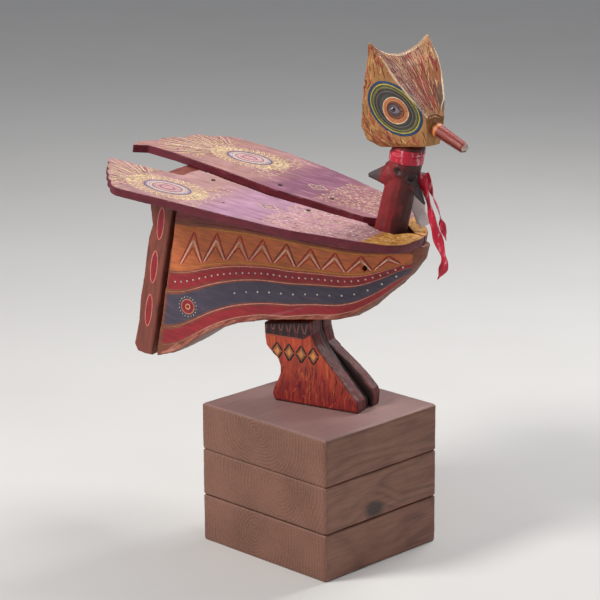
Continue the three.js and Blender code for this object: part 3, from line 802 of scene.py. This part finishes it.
def wing_ground(wing, rear, front):
    """Mauve boards that pale towards the rear and the front, with dark edges."""
    p = wing.p
    wing.tint(smooth(-150, -232, p[:, 0] + 12 * ripple(p, (25, 14, 9), 3)), rear)
    wing.tint(0.8 * smooth(-130, -50, p[:, 0] + 10 * ripple(p, (20, 12, 9), 5)), front)
    wing.mottle(0.35, 0, 0.7, (55, 5, 9), 7, "9c5f86")
    wing.mottle(0.4, 0.1, 0.7, (30, 4, 9), 8, "d9aab4")
    wing.tint(smooth(0.75, 0.45, wing.n[:, 2]), "6a1226")


def carve_wing(wing):
    p = wing.p
    flat_part = smooth(0.6, 0.9, np.abs(wing.n[:, 2]))
    depth = 0.22 * ripple(p, (60, 4, 30), 13) + 0.1 * ripple(p, (4, 4, 4), 2)
    wing.carve(depth + (1 - flat_part) * 0.45 * ripple(p, (16, 16, 20), 4))


def rosette(side, centre, radii):
    """Rings round a flower, ringed by looped petals."""
    for share, colour in ((1.02, "a594ac"), (0.78, "dcc0b0"), (0.6, "c99aa0")):
        side.fill(ellipse(centre, radii * share), colour)
    for share, colour, width in (
        (1.0, "6c5c7a", 2.6), (0.84, "f0dcc0", 1.8), (0.64, "8c4a6c", 1.8),
        (0.48, "eac8b8", 1.6), (0.32, "a04a5e", 1.6), (0.16, "e6bfae", 1.4),
    ):
        side.stroke(ellipse(centre, radii * share, 48), width, colour, taper=0)
    for ring, count, length, colour in (
        (1.08, 30, 0.2, CREAM), (1.28, 34, 0.24, "ecd9a4"), (1.54, 40, 0.26, CREAM),
    ):
        for a in angles(count):
            turns = ((ring, -0.06), (ring + length, 0.02), (ring, 0.08))
            petal = [centre + radii * r * heading(a + turn) for r, turn in turns]
            side.stroke(petal, 1.7, colour, spacing=1.6, taper=0.1)
    for a in angles(18):
        side.dot(centre + radii * 0.9 * heading(a), 0.9, CREAM, 0.4, 6)


def rays(side, root, tips, colours, count):
    """Bundles of fine lines that fan out to the feather tips."""
    for tip in tips:
        for k in range(count):
            spread = (k - (count - 1) / 2) / count
            away = np.array(tip) - root
            across = np.array((-away[1], away[0])) * 0.10 * spread
            start = root + away * rng.uniform(0.32, 0.42) + across * 0.7
            end = np.array(tip) - away * rng.uniform(0.03, 0.12) + across * 2.2
            side.stroke([start, (start + end) / 2 + across * 0.4, end], rng.uniform(1.0, 1.7),
                        colours[k % len(colours)])


def scales(side, low, high, step, colours, angle, keep):
    """Rows of short curled marks that fill a rectangle."""
    rows = np.arange(low[1], high[1], step * 0.62)
    for i, w in enumerate(rows):
        for u in np.arange(low[0] + (i % 2) * step / 2, high[0], step):
            if rng.random() > keep:
                continue
            lie = heading(angle + rng.normal(0, 0.35))
            q = np.array((u, w)) + rng.normal(0, step * 0.14, 2)
            r = step * rng.uniform(0.3, 0.46)
            line = [q - r * lie, q + 0.35 * r * np.array((-lie[1], lie[0])), q + r * lie]
            side.stroke(line, rng.uniform(1.2, 2.0), pick(*colours), spacing=1.8)


def kite(side, centre, length, width, colours):
    """A nested diamond."""
    for share, colour in zip((1.0, 0.68, 0.36), colours):
        side.edges(diamond(centre, -length * share, width * share), 1.5, colour, 0.08)


MARKS = [CREAM, "f6e4c8", "ecc8a8", "a05a5c", "ecc880", "f0d8b0"]
FAN = 9  # bundles of rays over the feathers
ROSETTE_RADII = np.array((36.0, 24.0))


def paint_wing(wing, sign):
    """Rosette, feather rays and rows of marks, the same on both wings but mirrored."""
    top = Side(wing, 2, 0, 1, 1, reach=0.5)
    centre = np.array((-265.0, sign * 112.0))
    wing.tint(smooth(36, 48, wing.p[:, 0]) * smooth(0.6, 0.8, wing.n[:, 2]), "c98b3c")
    rosette(top, centre, ROSETTE_RADII)
    tips = [centre + 150 * heading(math.pi - a) for a in np.linspace(-0.62, 0.62, FAN)]
    rays(top, centre + (-20, 0), tips, [CREAM, "a45a68", "f0dcc0", "6e2f45"], 5)
    for start, end, inner, outer, step in (
        (-340, -310, 50, 170, 7.5), (-222, -190, 50, 165, 7.5), (-100, 34, 22, 130, 7.0),
    ):
        low, high = sorted((sign * inner, sign * outer))
        scales(top, (start, low), (end, high), step, MARKS, 0.5, 0.85)
    low, high = sorted((sign * 6, sign * 90))
    scales(top, (42, low), (92, high), 7, ["7a3516", "e6b85c", "9c4a1c", CREAM], 0.3, 0.95)
    kite(top, (-122, sign * 70), 17, 11, (CREAM, "8c6aa0", "e6bf78"))


wings = []
for name, sign, middle, rear_tone, front_tone in (
    ("right", RIGHT, "c090a8", "bf908a", "c48c92"),
    ("left", LEFT, "8e546c", "b8867c", "a86c6e"),
):
    wing = Surface("wing_" + name, BODY, 1.5, "carved_wing_" + name, "wing_paint", middle)
    carve_wing(wing)
    wing_ground(wing, rear_tone, front_tone)
    paint_wing(wing, sign)
    wings.append(wing)

wing_material = painted_wood("wing_paint", BODY, (0.1, 1, 1), wear=0.3, gloss=0.6, bare="8a5a50",
                             relief=0.45)
for wing in wings:
    wing.tint(smooth(-0.45, -0.8, wing.n[:, 2]), "5a2730")
    wing.finish(wing_material, raised)

# ---- leg

leg_material = painted_wood("leg_paint", FIGURE, (1, 1, 0.12), wear=0.45, relief=0.6, bare="7a3a26")
DIAMONDS = [(-58 + 20 * k, 286) for k in range(4)]


def paint_leg_side(side):
    """Dark-edged diamonds, zigzags on a painted shadow under the body and upright strokes of red and orange.
    """
    for _ in range(260):
        x, z = rng.uniform(-78, 76), rng.uniform(208, 302)
        lean = rng.normal(0, 2.5)
        tone = pick("e0783c", "c8502c", "6e1a18", "c8442a", "8a2420")
        side.brush(np.array([(x, z), (x + lean, z + rng.uniform(6, 22))]), rng.uniform(1.2, 2.2), tone,
                   strength=0.45)
    for _ in range(90):
        x, z = rng.uniform(-72, 76), rng.uniform(212, 262)
        tone = pick("6e1518", "c4502c", "3c0c10")
        side.stroke([(x, z), (x + rng.normal(0, 1), z + 5), (x + rng.normal(0, 2), z + rng.uniform(9, 18))],
                    rng.uniform(0.9, 1.6), tone, height=0.25)
    for centre in DIAMONDS:
        side.fill(diamond(centre, 9, 13), "c0602e", strength=0.8)
        side.fill(diamond(centre, 9 * 0.45, 13 * 0.45), "e09a5c", strength=0.8)
        side.edges(diamond(centre, 9, 13), 3.2, "12121c", 0.06)
        side.edges(diamond(centre, 9 * 0.62, 13 * 0.62), 1.1, "6a7a3c", 0.1)
    # painted shadow: the top of the leg under the overhanging body is filled near black; the zigzags over it
    # are paint
    side.fill(np.array([(-92, 309), (-14, 309), (2, 320), (6, 360), (-92, 360)]), "200e12", soft=1.5)
    for x in np.arange(-84, -2, 13.0):
        for lift, colour, width in ((0, "6a2426", 2.2), (6, "9a6a5c", 1.3), (11, "4a1a20", 1.6)):
            tooth = [(x, 336 + lift), (x + 6.5, 311 + lift), (x + 13, 336 + lift)]
            side.stroke(tooth, width, colour, taper=0.1)
    side.stroke([(-82, 309), (-50, 308), (-14, 309)], 2.0, "a04a34")


for name, sign in (("right", RIGHT), ("left", LEFT)):
    slab = Surface("leg_slab_" + name, FIGURE, 1.4, "carved_leg_" + name, "leg_paint", "bd4526")
    p = slab.p
    rim = smooth(0.75, 0.3, np.abs(slab.n[:, 1]))
    edge_marks = 0.6 * ripple(p, (9, 9, 13), 6) + 0.9 * ripple(p, (30, 4, 30), 15)
    slab.carve(0.3 * ripple(p, (4, 6, 30), 2) + rim * edge_marks)
    p = slab.p
    slab.tint(smooth(292, 225, p[:, 2] + 0.2 * p[:, 0] + 8 * ripple(p, (14, 9, 20), 8)), "982220")
    slab.mottle(0.5, 0.1, 0.7, (5, 5, 26), 11, "d2602e")
    slab.mottle(0.35, 0.2, 0.7, (4, 4, 30), 12, "4c1012")
    slab.tint(0.92 * rim * smooth(0.0, 0.35, slab.n[:, 0]), "6c2a29")
    # painted light and shade of grooves: lighter stripes on the forward edge faces are painted highlights,
    # near-black stripes on all edge faces are painted shade
    across = ripple(p, (60, 3.2, 60), 17)
    slab.tint(0.5 * rim * smooth(0.1, 0.6, across) * smooth(0, 0.35, slab.n[:, 0]), "8a4438")
    slab.tint(0.6 * rim * smooth(-0.1, -0.6, across), "150a0a")
    # painted shade: the slabs' inner faces, which face each other across the channel, are painted near black
    slab.tint(0.97 * smooth(0.5, 0.8, -sign * slab.n[:, 1]), "140b0b")
    # painted shade: the lowest few mm of each slab, where it stands on the plinth, are darkened
    slab.tint(0.6 * smooth(216, 211, p[:, 2]), "2c0c0c")
    paint_leg_side(Side(slab, 1, 0, 2, sign, reach=0.35))
    slab.finish(leg_material, raised)

# painted shade: the core, deep in the channel between the slabs, is painted near black
core = Surface("leg_core", FIGURE, 1.6, "carved_leg_core", "leg_core_stain", "2c1a18")
core.carve(0.35 * ripple(core.p, (7, 5, 18), 5))
core.mottle(0.6, 0, 0.6, (5, 5, 24), 6, "6a3030")
core.finish(painted_wood("core_painted_shade", FIGURE, (1, 1, 0.12), wear=0.3, gloss=0.2, bare="5c3a30"))

# ---- neck

neck = Surface("neck_branch", NECK, 1.2, "carved_neck_branch", "neck_paint", "8f2023")
p = neck.p
angle = np.arctan2(p[:, 1], p[:, 0])
around = np.stack([14 * np.cos(angle), 14 * np.sin(angle), p[:, 2]], 1)
depth = 0.5 * ripple(around, (9, 9, 22), 3) + 0.22 * ripple(p, (3, 3, 6), 4)
KNOTS = [(math.radians(-84), 104, 7.5), (math.radians(-34), 96, 6.5), (math.radians(100), 70, 6)]
knot_shade = np.zeros(len(p))
for turn, s, size in KNOTS:
    away = np.hypot(np.angle(np.exp(1j * (angle - turn))) * 21, p[:, 2] - s)
    depth += 2.0 * np.exp(-(((away - size * 0.8) / 2.6) ** 2))
    depth -= 2.6 * np.exp(-((away / (size * 0.45)) ** 2))
    knot_shade = np.maximum(knot_shade, smooth(size * 1.25, size * 0.35, away))
stout = 3.0 * smooth(84, 102, p[:, 2]) * smooth(29, 23, np.hypot(p[:, 0], p[:, 1]))
neck.carve((depth + stout) * smooth(-2, 6, p[:, 2]))
p = neck.p
reach = np.hypot(p[:, 0], p[:, 1])
# painted shade: the branch's front side, turned away from the key light, is painted dark brown
neck.tint(0.85 * smooth(2, 17, p[:, 0] + 5 * ripple(p, (9, 9, 16), 5)), "33191a")
neck.mottle(0.5, 0.1, 0.7, (6, 6, 22), 6, "6a1517", around)
neck.mottle(0.35, 0.3, 0.8, (5, 5, 14), 7, "b8383a", around)
neck.tint(0.9 * knot_shade, "3a2a28")
neck.tint(smooth(27, 36, reach), "4e4444")
# painted shade: darker still where the branch swells on its front side
neck.tint(0.6 * smooth(22, 27, reach) * smooth(0, 6, p[:, 0]), "2a2224")
# painted shade: the foot of the branch, where it goes down between the wings, is darkened
neck.tint(0.6 * smooth(16, 8, p[:, 2]), "4a1417")
neck.finish(
    painted_wood("neck_paint", NECK, (1, 1, 0.3), wear=0.35, gloss=0.35, bare="4c2a24", relief=0.8)
)

# ---- head

head = Surface("head_block", HEAD, 1.1, "carved_head", "head_paint", "b07c46")
p = head.p
head.carve(0.25 * ripple(p, (7, 7, 14), 3) + 0.1 * ripple(p, (3, 3, 3), 4))
p, n = head.p, head.n
head.mottle(0.5, -0.1, 0.6, (10, 10, 18), 5, "c79252")
head.mottle(0.4, 0.1, 0.7, (4, 4, 22), 6, "8a4a2a")
# painted light: the upward-facing faces of the crest are mixed towards a pale tan
head.tint(0.75 * smooth(0.5, 0.8, n[:, 2]) * smooth(100, 115, p[:, 2]), "c4a27c")
head.tint(0.55 * smooth(0.35, 0.7, n[:, 0]) * smooth(50, 70, p[:, 2]), "a24f34")
head_tree = head.tree()
EYE = np.array((11.0, 59.5))  # the painted pupil
EYE_MIDDLE = np.array((11.5, 62))  # of the tilted ellipse round it
EYE_LONG, EYE_SHORT = 41 * heading(math.radians(-45)), 33 * heading(math.radians(-135))
EYE_LINE = [EYE_MIDDLE + math.cos(t) * EYE_LONG + math.sin(t) * EYE_SHORT for t in angles(28)]


def eye_ring(share):
    """The eye's outline, shrunk towards the pupil."""
    return loop([EYE + (q - EYE) * share for q in EYE_LINE])


def paint_cheek(side):
    """Ringed eye and loose red strokes of one cheek."""
    for share, colour in ((1.0, "56504a"), (0.86, "6c6a4c"), (0.74, "4a4440")):
        side.fill(eye_ring(share), colour)
    side.fill(ellipse(EYE + (2, 0), (17, 17.5)), "c4733c", soft=1)
    side.fill(ellipse(EYE + (1, 1), (12, 12)), "6a4636", soft=1.5)
    side.fill(ellipse(EYE + (0, 1), (8, 6.5)), "8a7c86", soft=1)
    for share, colour, width in (
        (1.0, NAVY, 2.8), (0.95, "2c5a80", 1.6), (0.905, YELLOW, 1.8), (0.855, "3c5a34", 1.4),
        (0.8, "b8a24a", 1.2), (0.74, "33302e", 1.8), (0.665, "7a7468", 1.2),
        (0.6, "3a3430", 1.8),
    ):
        side.stroke(eye_ring(share), width, colour, taper=0, spacing=1.6)
    for radii, colour, width in (
        ((17.8, 18.6), "ecd0a8", 1.8), ((15.8, 16.4), "e07848", 2.0), ((13.6, 14), "d89c68", 1.8),
        ((11.6, 11.4), "7a3022", 1.5),
    ):
        side.stroke(ellipse(EYE + (2, 0), radii), width, colour, taper=0, spacing=1.6)
    for bend, colour in ((5, "4c4058"), (7.5, "2c2630")):
        upper = [EYE + (-9, 0), EYE + (-4, bend), EYE + (4, bend), EYE + (10, -1)]
        lower = [EYE + (-8, 0), EYE + (-2, -bend * 0.7), EYE + (5, -bend * 0.7), EYE + (10, -1)]
        side.stroke(upper, 1.2, colour, spacing=1.2)
        side.stroke(lower, 1.0, colour, spacing=1.2)
    for turn in np.linspace(-0.9, 0.9, 7):
        a = EYE + 9 * heading(turn * 1.6 - 1.2)
        side.stroke([a, a + (a - EYE) * 0.3, a + (a - EYE) * 0.55], 1.0, "c87850", spacing=1.2)
    outside = np.array(EYE_LINE, float)
    made = 0
    while made < 230:
        f, z = rng.uniform(-38, 52), rng.uniform(4, 146)
        q = np.array([[f, z]])
        if within(outside, q)[0] or distance_to(np.vstack([outside, outside[:1]]), q)[0] < 4:
            continue
        made += 1
        length = rng.uniform(7, 20)
        lean = 0.25 * (f + 10) / 50 + rng.normal(0, 0.25) - (0.5 if z < 40 else 0)
        tip = np.array((f + length * math.sin(lean), z + length * math.cos(lean)))
        bend = rng.normal(0, 1.6)
        tone = pick(RUST, "a8402a", "7a2a1c", "e0b070", "b8402e", "b23a30")
        if within(outside, tip[None])[0]:
            continue
        line = [(f, z), ((f + tip[0]) / 2 + bend, (z + tip[1]) / 2), tip]
        side.stroke(line, rng.uniform(1.3, 2.3), tone, height=0.28, spacing=1.8)


for sign in (RIGHT, LEFT):
    paint_cheek(Side(head, 1, 0, 2, sign, head_tree, reach=0.2))

front = Side(head, 0, 1, 2, 1, head_tree, reach=0.45)
for _ in range(420):
    l, z = rng.uniform(-44, 44), rng.uniform(50, 134)
    if abs(l) > 8 + (z - 45) * 0.5:
        continue
    length = rng.uniform(9, 24)
    lean = np.sign(l) * (0.55 - 0.25 * (l > 0)) * min(1, abs(l) / 16) + rng.normal(0, 0.14)
    tip = (l + length * math.sin(lean), z + length * math.cos(lean))
    tone = pick(RUST, "7a2a1c", "5e2018", "dca868", "a8402a", "9c2a28")
    if l > 6:
        tone = pick("e0b27c", "b8302c", "d4905c", "8c2420")
    line = [(l, z), ((l + tip[0]) / 2 + rng.normal(0, 1), (z + tip[1]) / 2), tip]
    front.stroke(line, rng.uniform(1.0, 2.1), tone, height=0.28, spacing=1.8)
for half, lift in ((11, 13), (14.5, 17)):  # two brows over the beak
    heights = ((-1, 0.45), (-0.7, 0.85), (0, 1), (0.7, 0.85), (1, 0.45))
    brow = [(half * across, 38 + lift * share) for across, share in heights]
    front.stroke(brow, 2.4, "8a5230", height=1.0, taper=0.3)
for l in (-10, -4, 3, 9):
    front.stroke([(l * 0.8, 60), (l, 78), (l * 1.5, 98), (l * 1.6, 112)], 2.2, "b03028", height=0.3)
# painted highlights: cream lines along the ridges between the cheeks and the front
for sign in (RIGHT, LEFT):
    ridge = ((13, 52), (18, 62), (27, 73), (36, 90), (44, 108), (50, 134))
    front.stroke([(sign * l, z) for l, z in ridge], 2.4, "e8cca8", height=0.4)
# painted highlight: a cream line just under the crest's top edge
crest = []
for l in np.linspace(-50, 50, 41):
    level = next((z for z in np.arange(156, 100, -0.8) if front.hit((l, z))), 110)
    crest.append((l, level - 1.3))
front.stroke(crest, 2.0, "e0c8a8", height=0.3)
rear = Side(head, 0, 1, 2, -1, head_tree, reach=0.45)
for _ in range(120):
    l, z = rng.uniform(-48, 48), rng.uniform(4, 122)
    length = rng.uniform(9, 24)
    lean = 0.012 * l + rng.normal(0, 0.16)
    line = [(l, z), (l + length * math.sin(lean), z + length * math.cos(lean))]
    rear.stroke(line, rng.uniform(1.1, 2.2), pick(RUST, "7a2a1c", "cf9c60", "a8402a"), height=0.28)
head.finish(painted_wood("head_paint", HEAD, (1, 1, 0.2), wear=0.3, bare="a07040", relief=0.4), raised)

beak = Surface("beak_twig", BEAK, 0.6, "carved_beak_twig", "beak_paint", "8e2e20")
p = beak.p
around = np.stack([np.arctan2(p[:, 2], p[:, 1]) * 4, p[:, 0], p[:, 0] * 0], 1)
beak.carve(0.18 * ripple(around, (1.5, 12, 9), 3) + 0.08 * ripple(p, (2, 2, 2), 4))
p = beak.p
beak.mottle(0.5, 0, 0.7, (1.2, 14, 9), 5, "b0502c", around)
beak.tint(smooth(14, 9, p[:, 0]), "a02a2c")
for start, end, colour in (
    (0, 3, "d8a23c"), (3, 5, "8c1f24"), (9, 11, "d8a23c"), (11, 13, "d06a2c"),
):
    beak.tint(smooth(start - 0.6, start + 0.4, p[:, 0]) * smooth(end + 0.6, end - 0.4, p[:, 0]), colour)
tip = p[:, 0].max()
beak.tint(0.8 * smooth(tip - 3, tip - 0.8, p[:, 0]), "d8c8b8")
# painted shade: a near-black line along the beak's slit
mouth_slit_shade = smooth(1.9, 0.9, np.abs(p[:, 2] + 1.0)) * smooth(12, 16, p[:, 0]) * smooth(tip - 1, tip - 3, p[:, 0])
beak.tint(0.95 * mouth_slit_shade, "1c0c0e")
beak.finish(painted_wood("beak_paint", BEAK, (0.15, 1, 1), wear=0.3, gloss=0.9, relief=0.4))

for name in ("right", "left"):
    bead = Surface("eye_bead_" + name, HEAD, 0.35, "eye_dome_" + name, "eye_gloss", BLACK)
    away = bead.p - bead.p.mean(0)
    bead.tint(smooth(1.5, 0.9, np.hypot(away[:, 0] + 0.9, away[:, 2] - 1.1)), WHITE)  # a painted glint
    gloss = Nodes("eye_dome_" + name)
    rough = gloss.span(gloss.noise(gloss.place(), 900, 3), 0.3, 0.7, 0.06, 0.14)
    bead.finish(gloss.finish(gloss.paint(), rough, Coat_Weight=1.0, Coat_Roughness=0.05))

# ---- ribbon


def band(name, path, sides, width, thickness, node, material, ruffle, point=0):
    """A ribbon with an even width along path, lying along sides, as one closed thin sheet."""
    line = curve(path, 1.6)
    count = len(line)
    t = np.linspace(0, 1, count)
    known = np.linspace(0, 1, len(sides))
    across = np.stack([np.interp(t, known, [side[k] for side in sides]) for k in range(3)], 1)
    along = unit(np.gradient(line, axis=0))
    across = unit(across - (across * along).sum(1)[:, None] * along)
    face = np.cross(along, across)
    lanes = np.linspace(-0.5, 0.5, 7)
    widths = width * (1 - 0.75 * point * smooth(0.86, 1, t)) * (1 + ruffle * 0.12 * np.sin(23 * t))
    rings = []
    for half, row in ((thickness / 2, lanes), (-thickness / 2, lanes[::-1])):
        for lane in row:
            wave = ruffle * np.sin(5.1 * t * math.pi + 3 * lane) * (0.4 + abs(lane))
            rings.append(line + across * (lane * widths)[:, None] + face * (wave + half)[:, None])
    rings = np.stack(rings, 1)
    made = new_object(name, rings.reshape(-1, 3), tube_faces(count, rings.shape[1]), FIGURE)
    made.data.materials.append(material)
    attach(made, "root")
    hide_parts(node)


# the second colour of each satin is its painted highlight along the creases
red_satin = satin("crimson_ribbon", "cc1636", "fbb4c4")
white_cloth = satin("white_cloth", "faf6f4", "ffffff")

WOUND = 3.4 * 2 * math.pi  # how far the ribbon goes round the neck
turns = []
for turn in np.linspace(0, WOUND, 60):
    share = turn / WOUND
    r = 22.8 + 1.2 * share + 0.3 * math.sin(3 * turn)
    a = turn - 1.9
    s = 127 - 9 * share + 2.5 * math.cos(a) + 1.2 * math.sin(turn * 0.7 + 1)
    turns.append(NECK.world((r * math.cos(a), r * math.sin(a), s)) * 1000 - FIGURE.origin)
neck_axis = NECK.turn[:, 2]
band("ribbon_winding", turns, [neck_axis, neck_axis], 10.5, 0.9, "ribbon_wrap", red_satin,
     0.5)

RED_TAIL = [(155.5, 3, 562), (159, 2, 549), (167, 1, 525), (174, 0, 501), (184, -2, 475), (195, -3, 445),
            (192, -3, 430), (185, -3, 417)]
THIN_TAIL = [(157, 11, 562), (164, 9, 547), (171, 7, 532), (180, 6, 515), (187, 5, 493), (194, 4, 472)]
WHITE_TAIL = [(148, 20, 561), (143, 22, 542), (139, 23, 522), (143, 21, 504), (157, 17, 487)]
view_across = np.array((0.86, 0.5, 0.0))
band("ribbon_tail_long", RED_TAIL, [view_across, (0.7, -0.7, 0.1), view_across, (0.9, -0.2, 0), view_across],
     12, 0.8, "ribbon_tail_red", red_satin, 1.3, point=1)
band("ribbon_tail_second", THIN_TAIL, [view_across, (0.2, -0.95, 0.1), (0.1, 0.99, 0.1)], 10, 0.8,
     "ribbon_tail_thin", red_satin, 0.5, point=1)
band("cloth_strip", WHITE_TAIL, [view_across, (0.9, 0.43, 0), view_across], 19, 1.0, "ribbon_tail_white",
     white_cloth, 0.8)

# ---- plinth

BEAM_WIDTH, BEAM_LENGTH, BEAM_HEIGHT = 250, 232, 70
KNOT = (-16, 84)
PITHS = {"plinth_beam_top": (-13, 193), "plinth_beam_middle": (29, 118), "plinth_beam_bottom": (-17, 37)}
for node, pith in PITHS.items():
    beam = Surface(node, PLINTH, 2.6, node.replace("plinth_beam", "timber"), "plinth_timber", "8a6048")
    p = beam.p
    from_ends, from_sides = BEAM_WIDTH / 2 - np.abs(p[:, 0]), BEAM_LENGTH / 2 - np.abs(p[:, 1])
    corner = smooth(4.5, 0, np.maximum(from_ends, from_sides))
    if node.endswith("top"):
        rim = np.maximum(np.minimum(from_ends, from_sides), 3 * BEAM_HEIGHT - p[:, 2])
        corner = np.maximum(corner, smooth(4.5, 0, rim))
    beam.carve(0.28 * ripple(p, (30, 60, 18), 5) + 0.1 * ripple(p, (5, 40, 5), 6) - 1.5 * corner)
    beam.finish(beam_wood(node, pith, KNOT if node.endswith("middle") else None))

# ---- hidden joinery and nails

dowel_wood = plain_wood("bare_dowel", "c39a68", "8a6238")
steel = old_steel("steel")
for name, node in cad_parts.items():
    if node.hide_render:
        continue
    node.data.materials.clear()
    metal = name.startswith(("nail", "foot_stud"))
    node.data.materials.append(steel if metal else dowel_wood)

# ---- stage and light

stage_mesh = bpy.data.meshes.new("floor")
stage_mesh.from_pydata([(-12, -12, 0), (12, -12, 0), (12, 12, 0), (-12, 12, 0)], [], [(0, 1, 2, 3)])
floor = add_object("floor", stage_mesh)
ground = Nodes("floor")
dust = ground.noise(ground.place(), 3, 3)
stage_mesh.materials.append(
    ground.finish(ground.mix(dust, "dddad6", "e4e2de"), ground.span(dust, 0, 1, 0.75, 0.9))
)

world = bpy.data.worlds.new("world")
bpy.context.scene.world = world
world.use_nodes = True
sky = world.node_tree.nodes["Background"].inputs
sky["Color"].default_value = (0.9, 0.93, 1.0, 1)
sky["Strength"].default_value = 0.27


def area_light(name, place, aim, size, power, colour=(1, 1, 1)):
    """A round lamp at a place, turned to what it lights."""
    light = bpy.data.lights.new(name, "AREA")
    light.shape, light.size, light.energy, light.color = "DISK", size, power, colour
    lamp = add_object(name, light)
    lamp.location = place
    lamp.rotation_euler = (Vector(aim) - Vector(place)).to_track_quat("-Z", "Y").to_euler()


area_light("key", (-1.4, -1.7, 2.4), (0, 0, 0.45), 0.9, 62, (1.0, 0.98, 0.96))
area_light("fill", (2.6, -0.9, 2.1), (0, 0, 0.6), 1.2, 5, (0.97, 0.98, 1.0))
area_light("top", (0.3, 1.2, 2.6), (0, 0, 0.45), 1.0, 30)
area_light("rim", (0.9, 2.1, 1.7), (0.1, 0, 0.5), 0.5, 14)
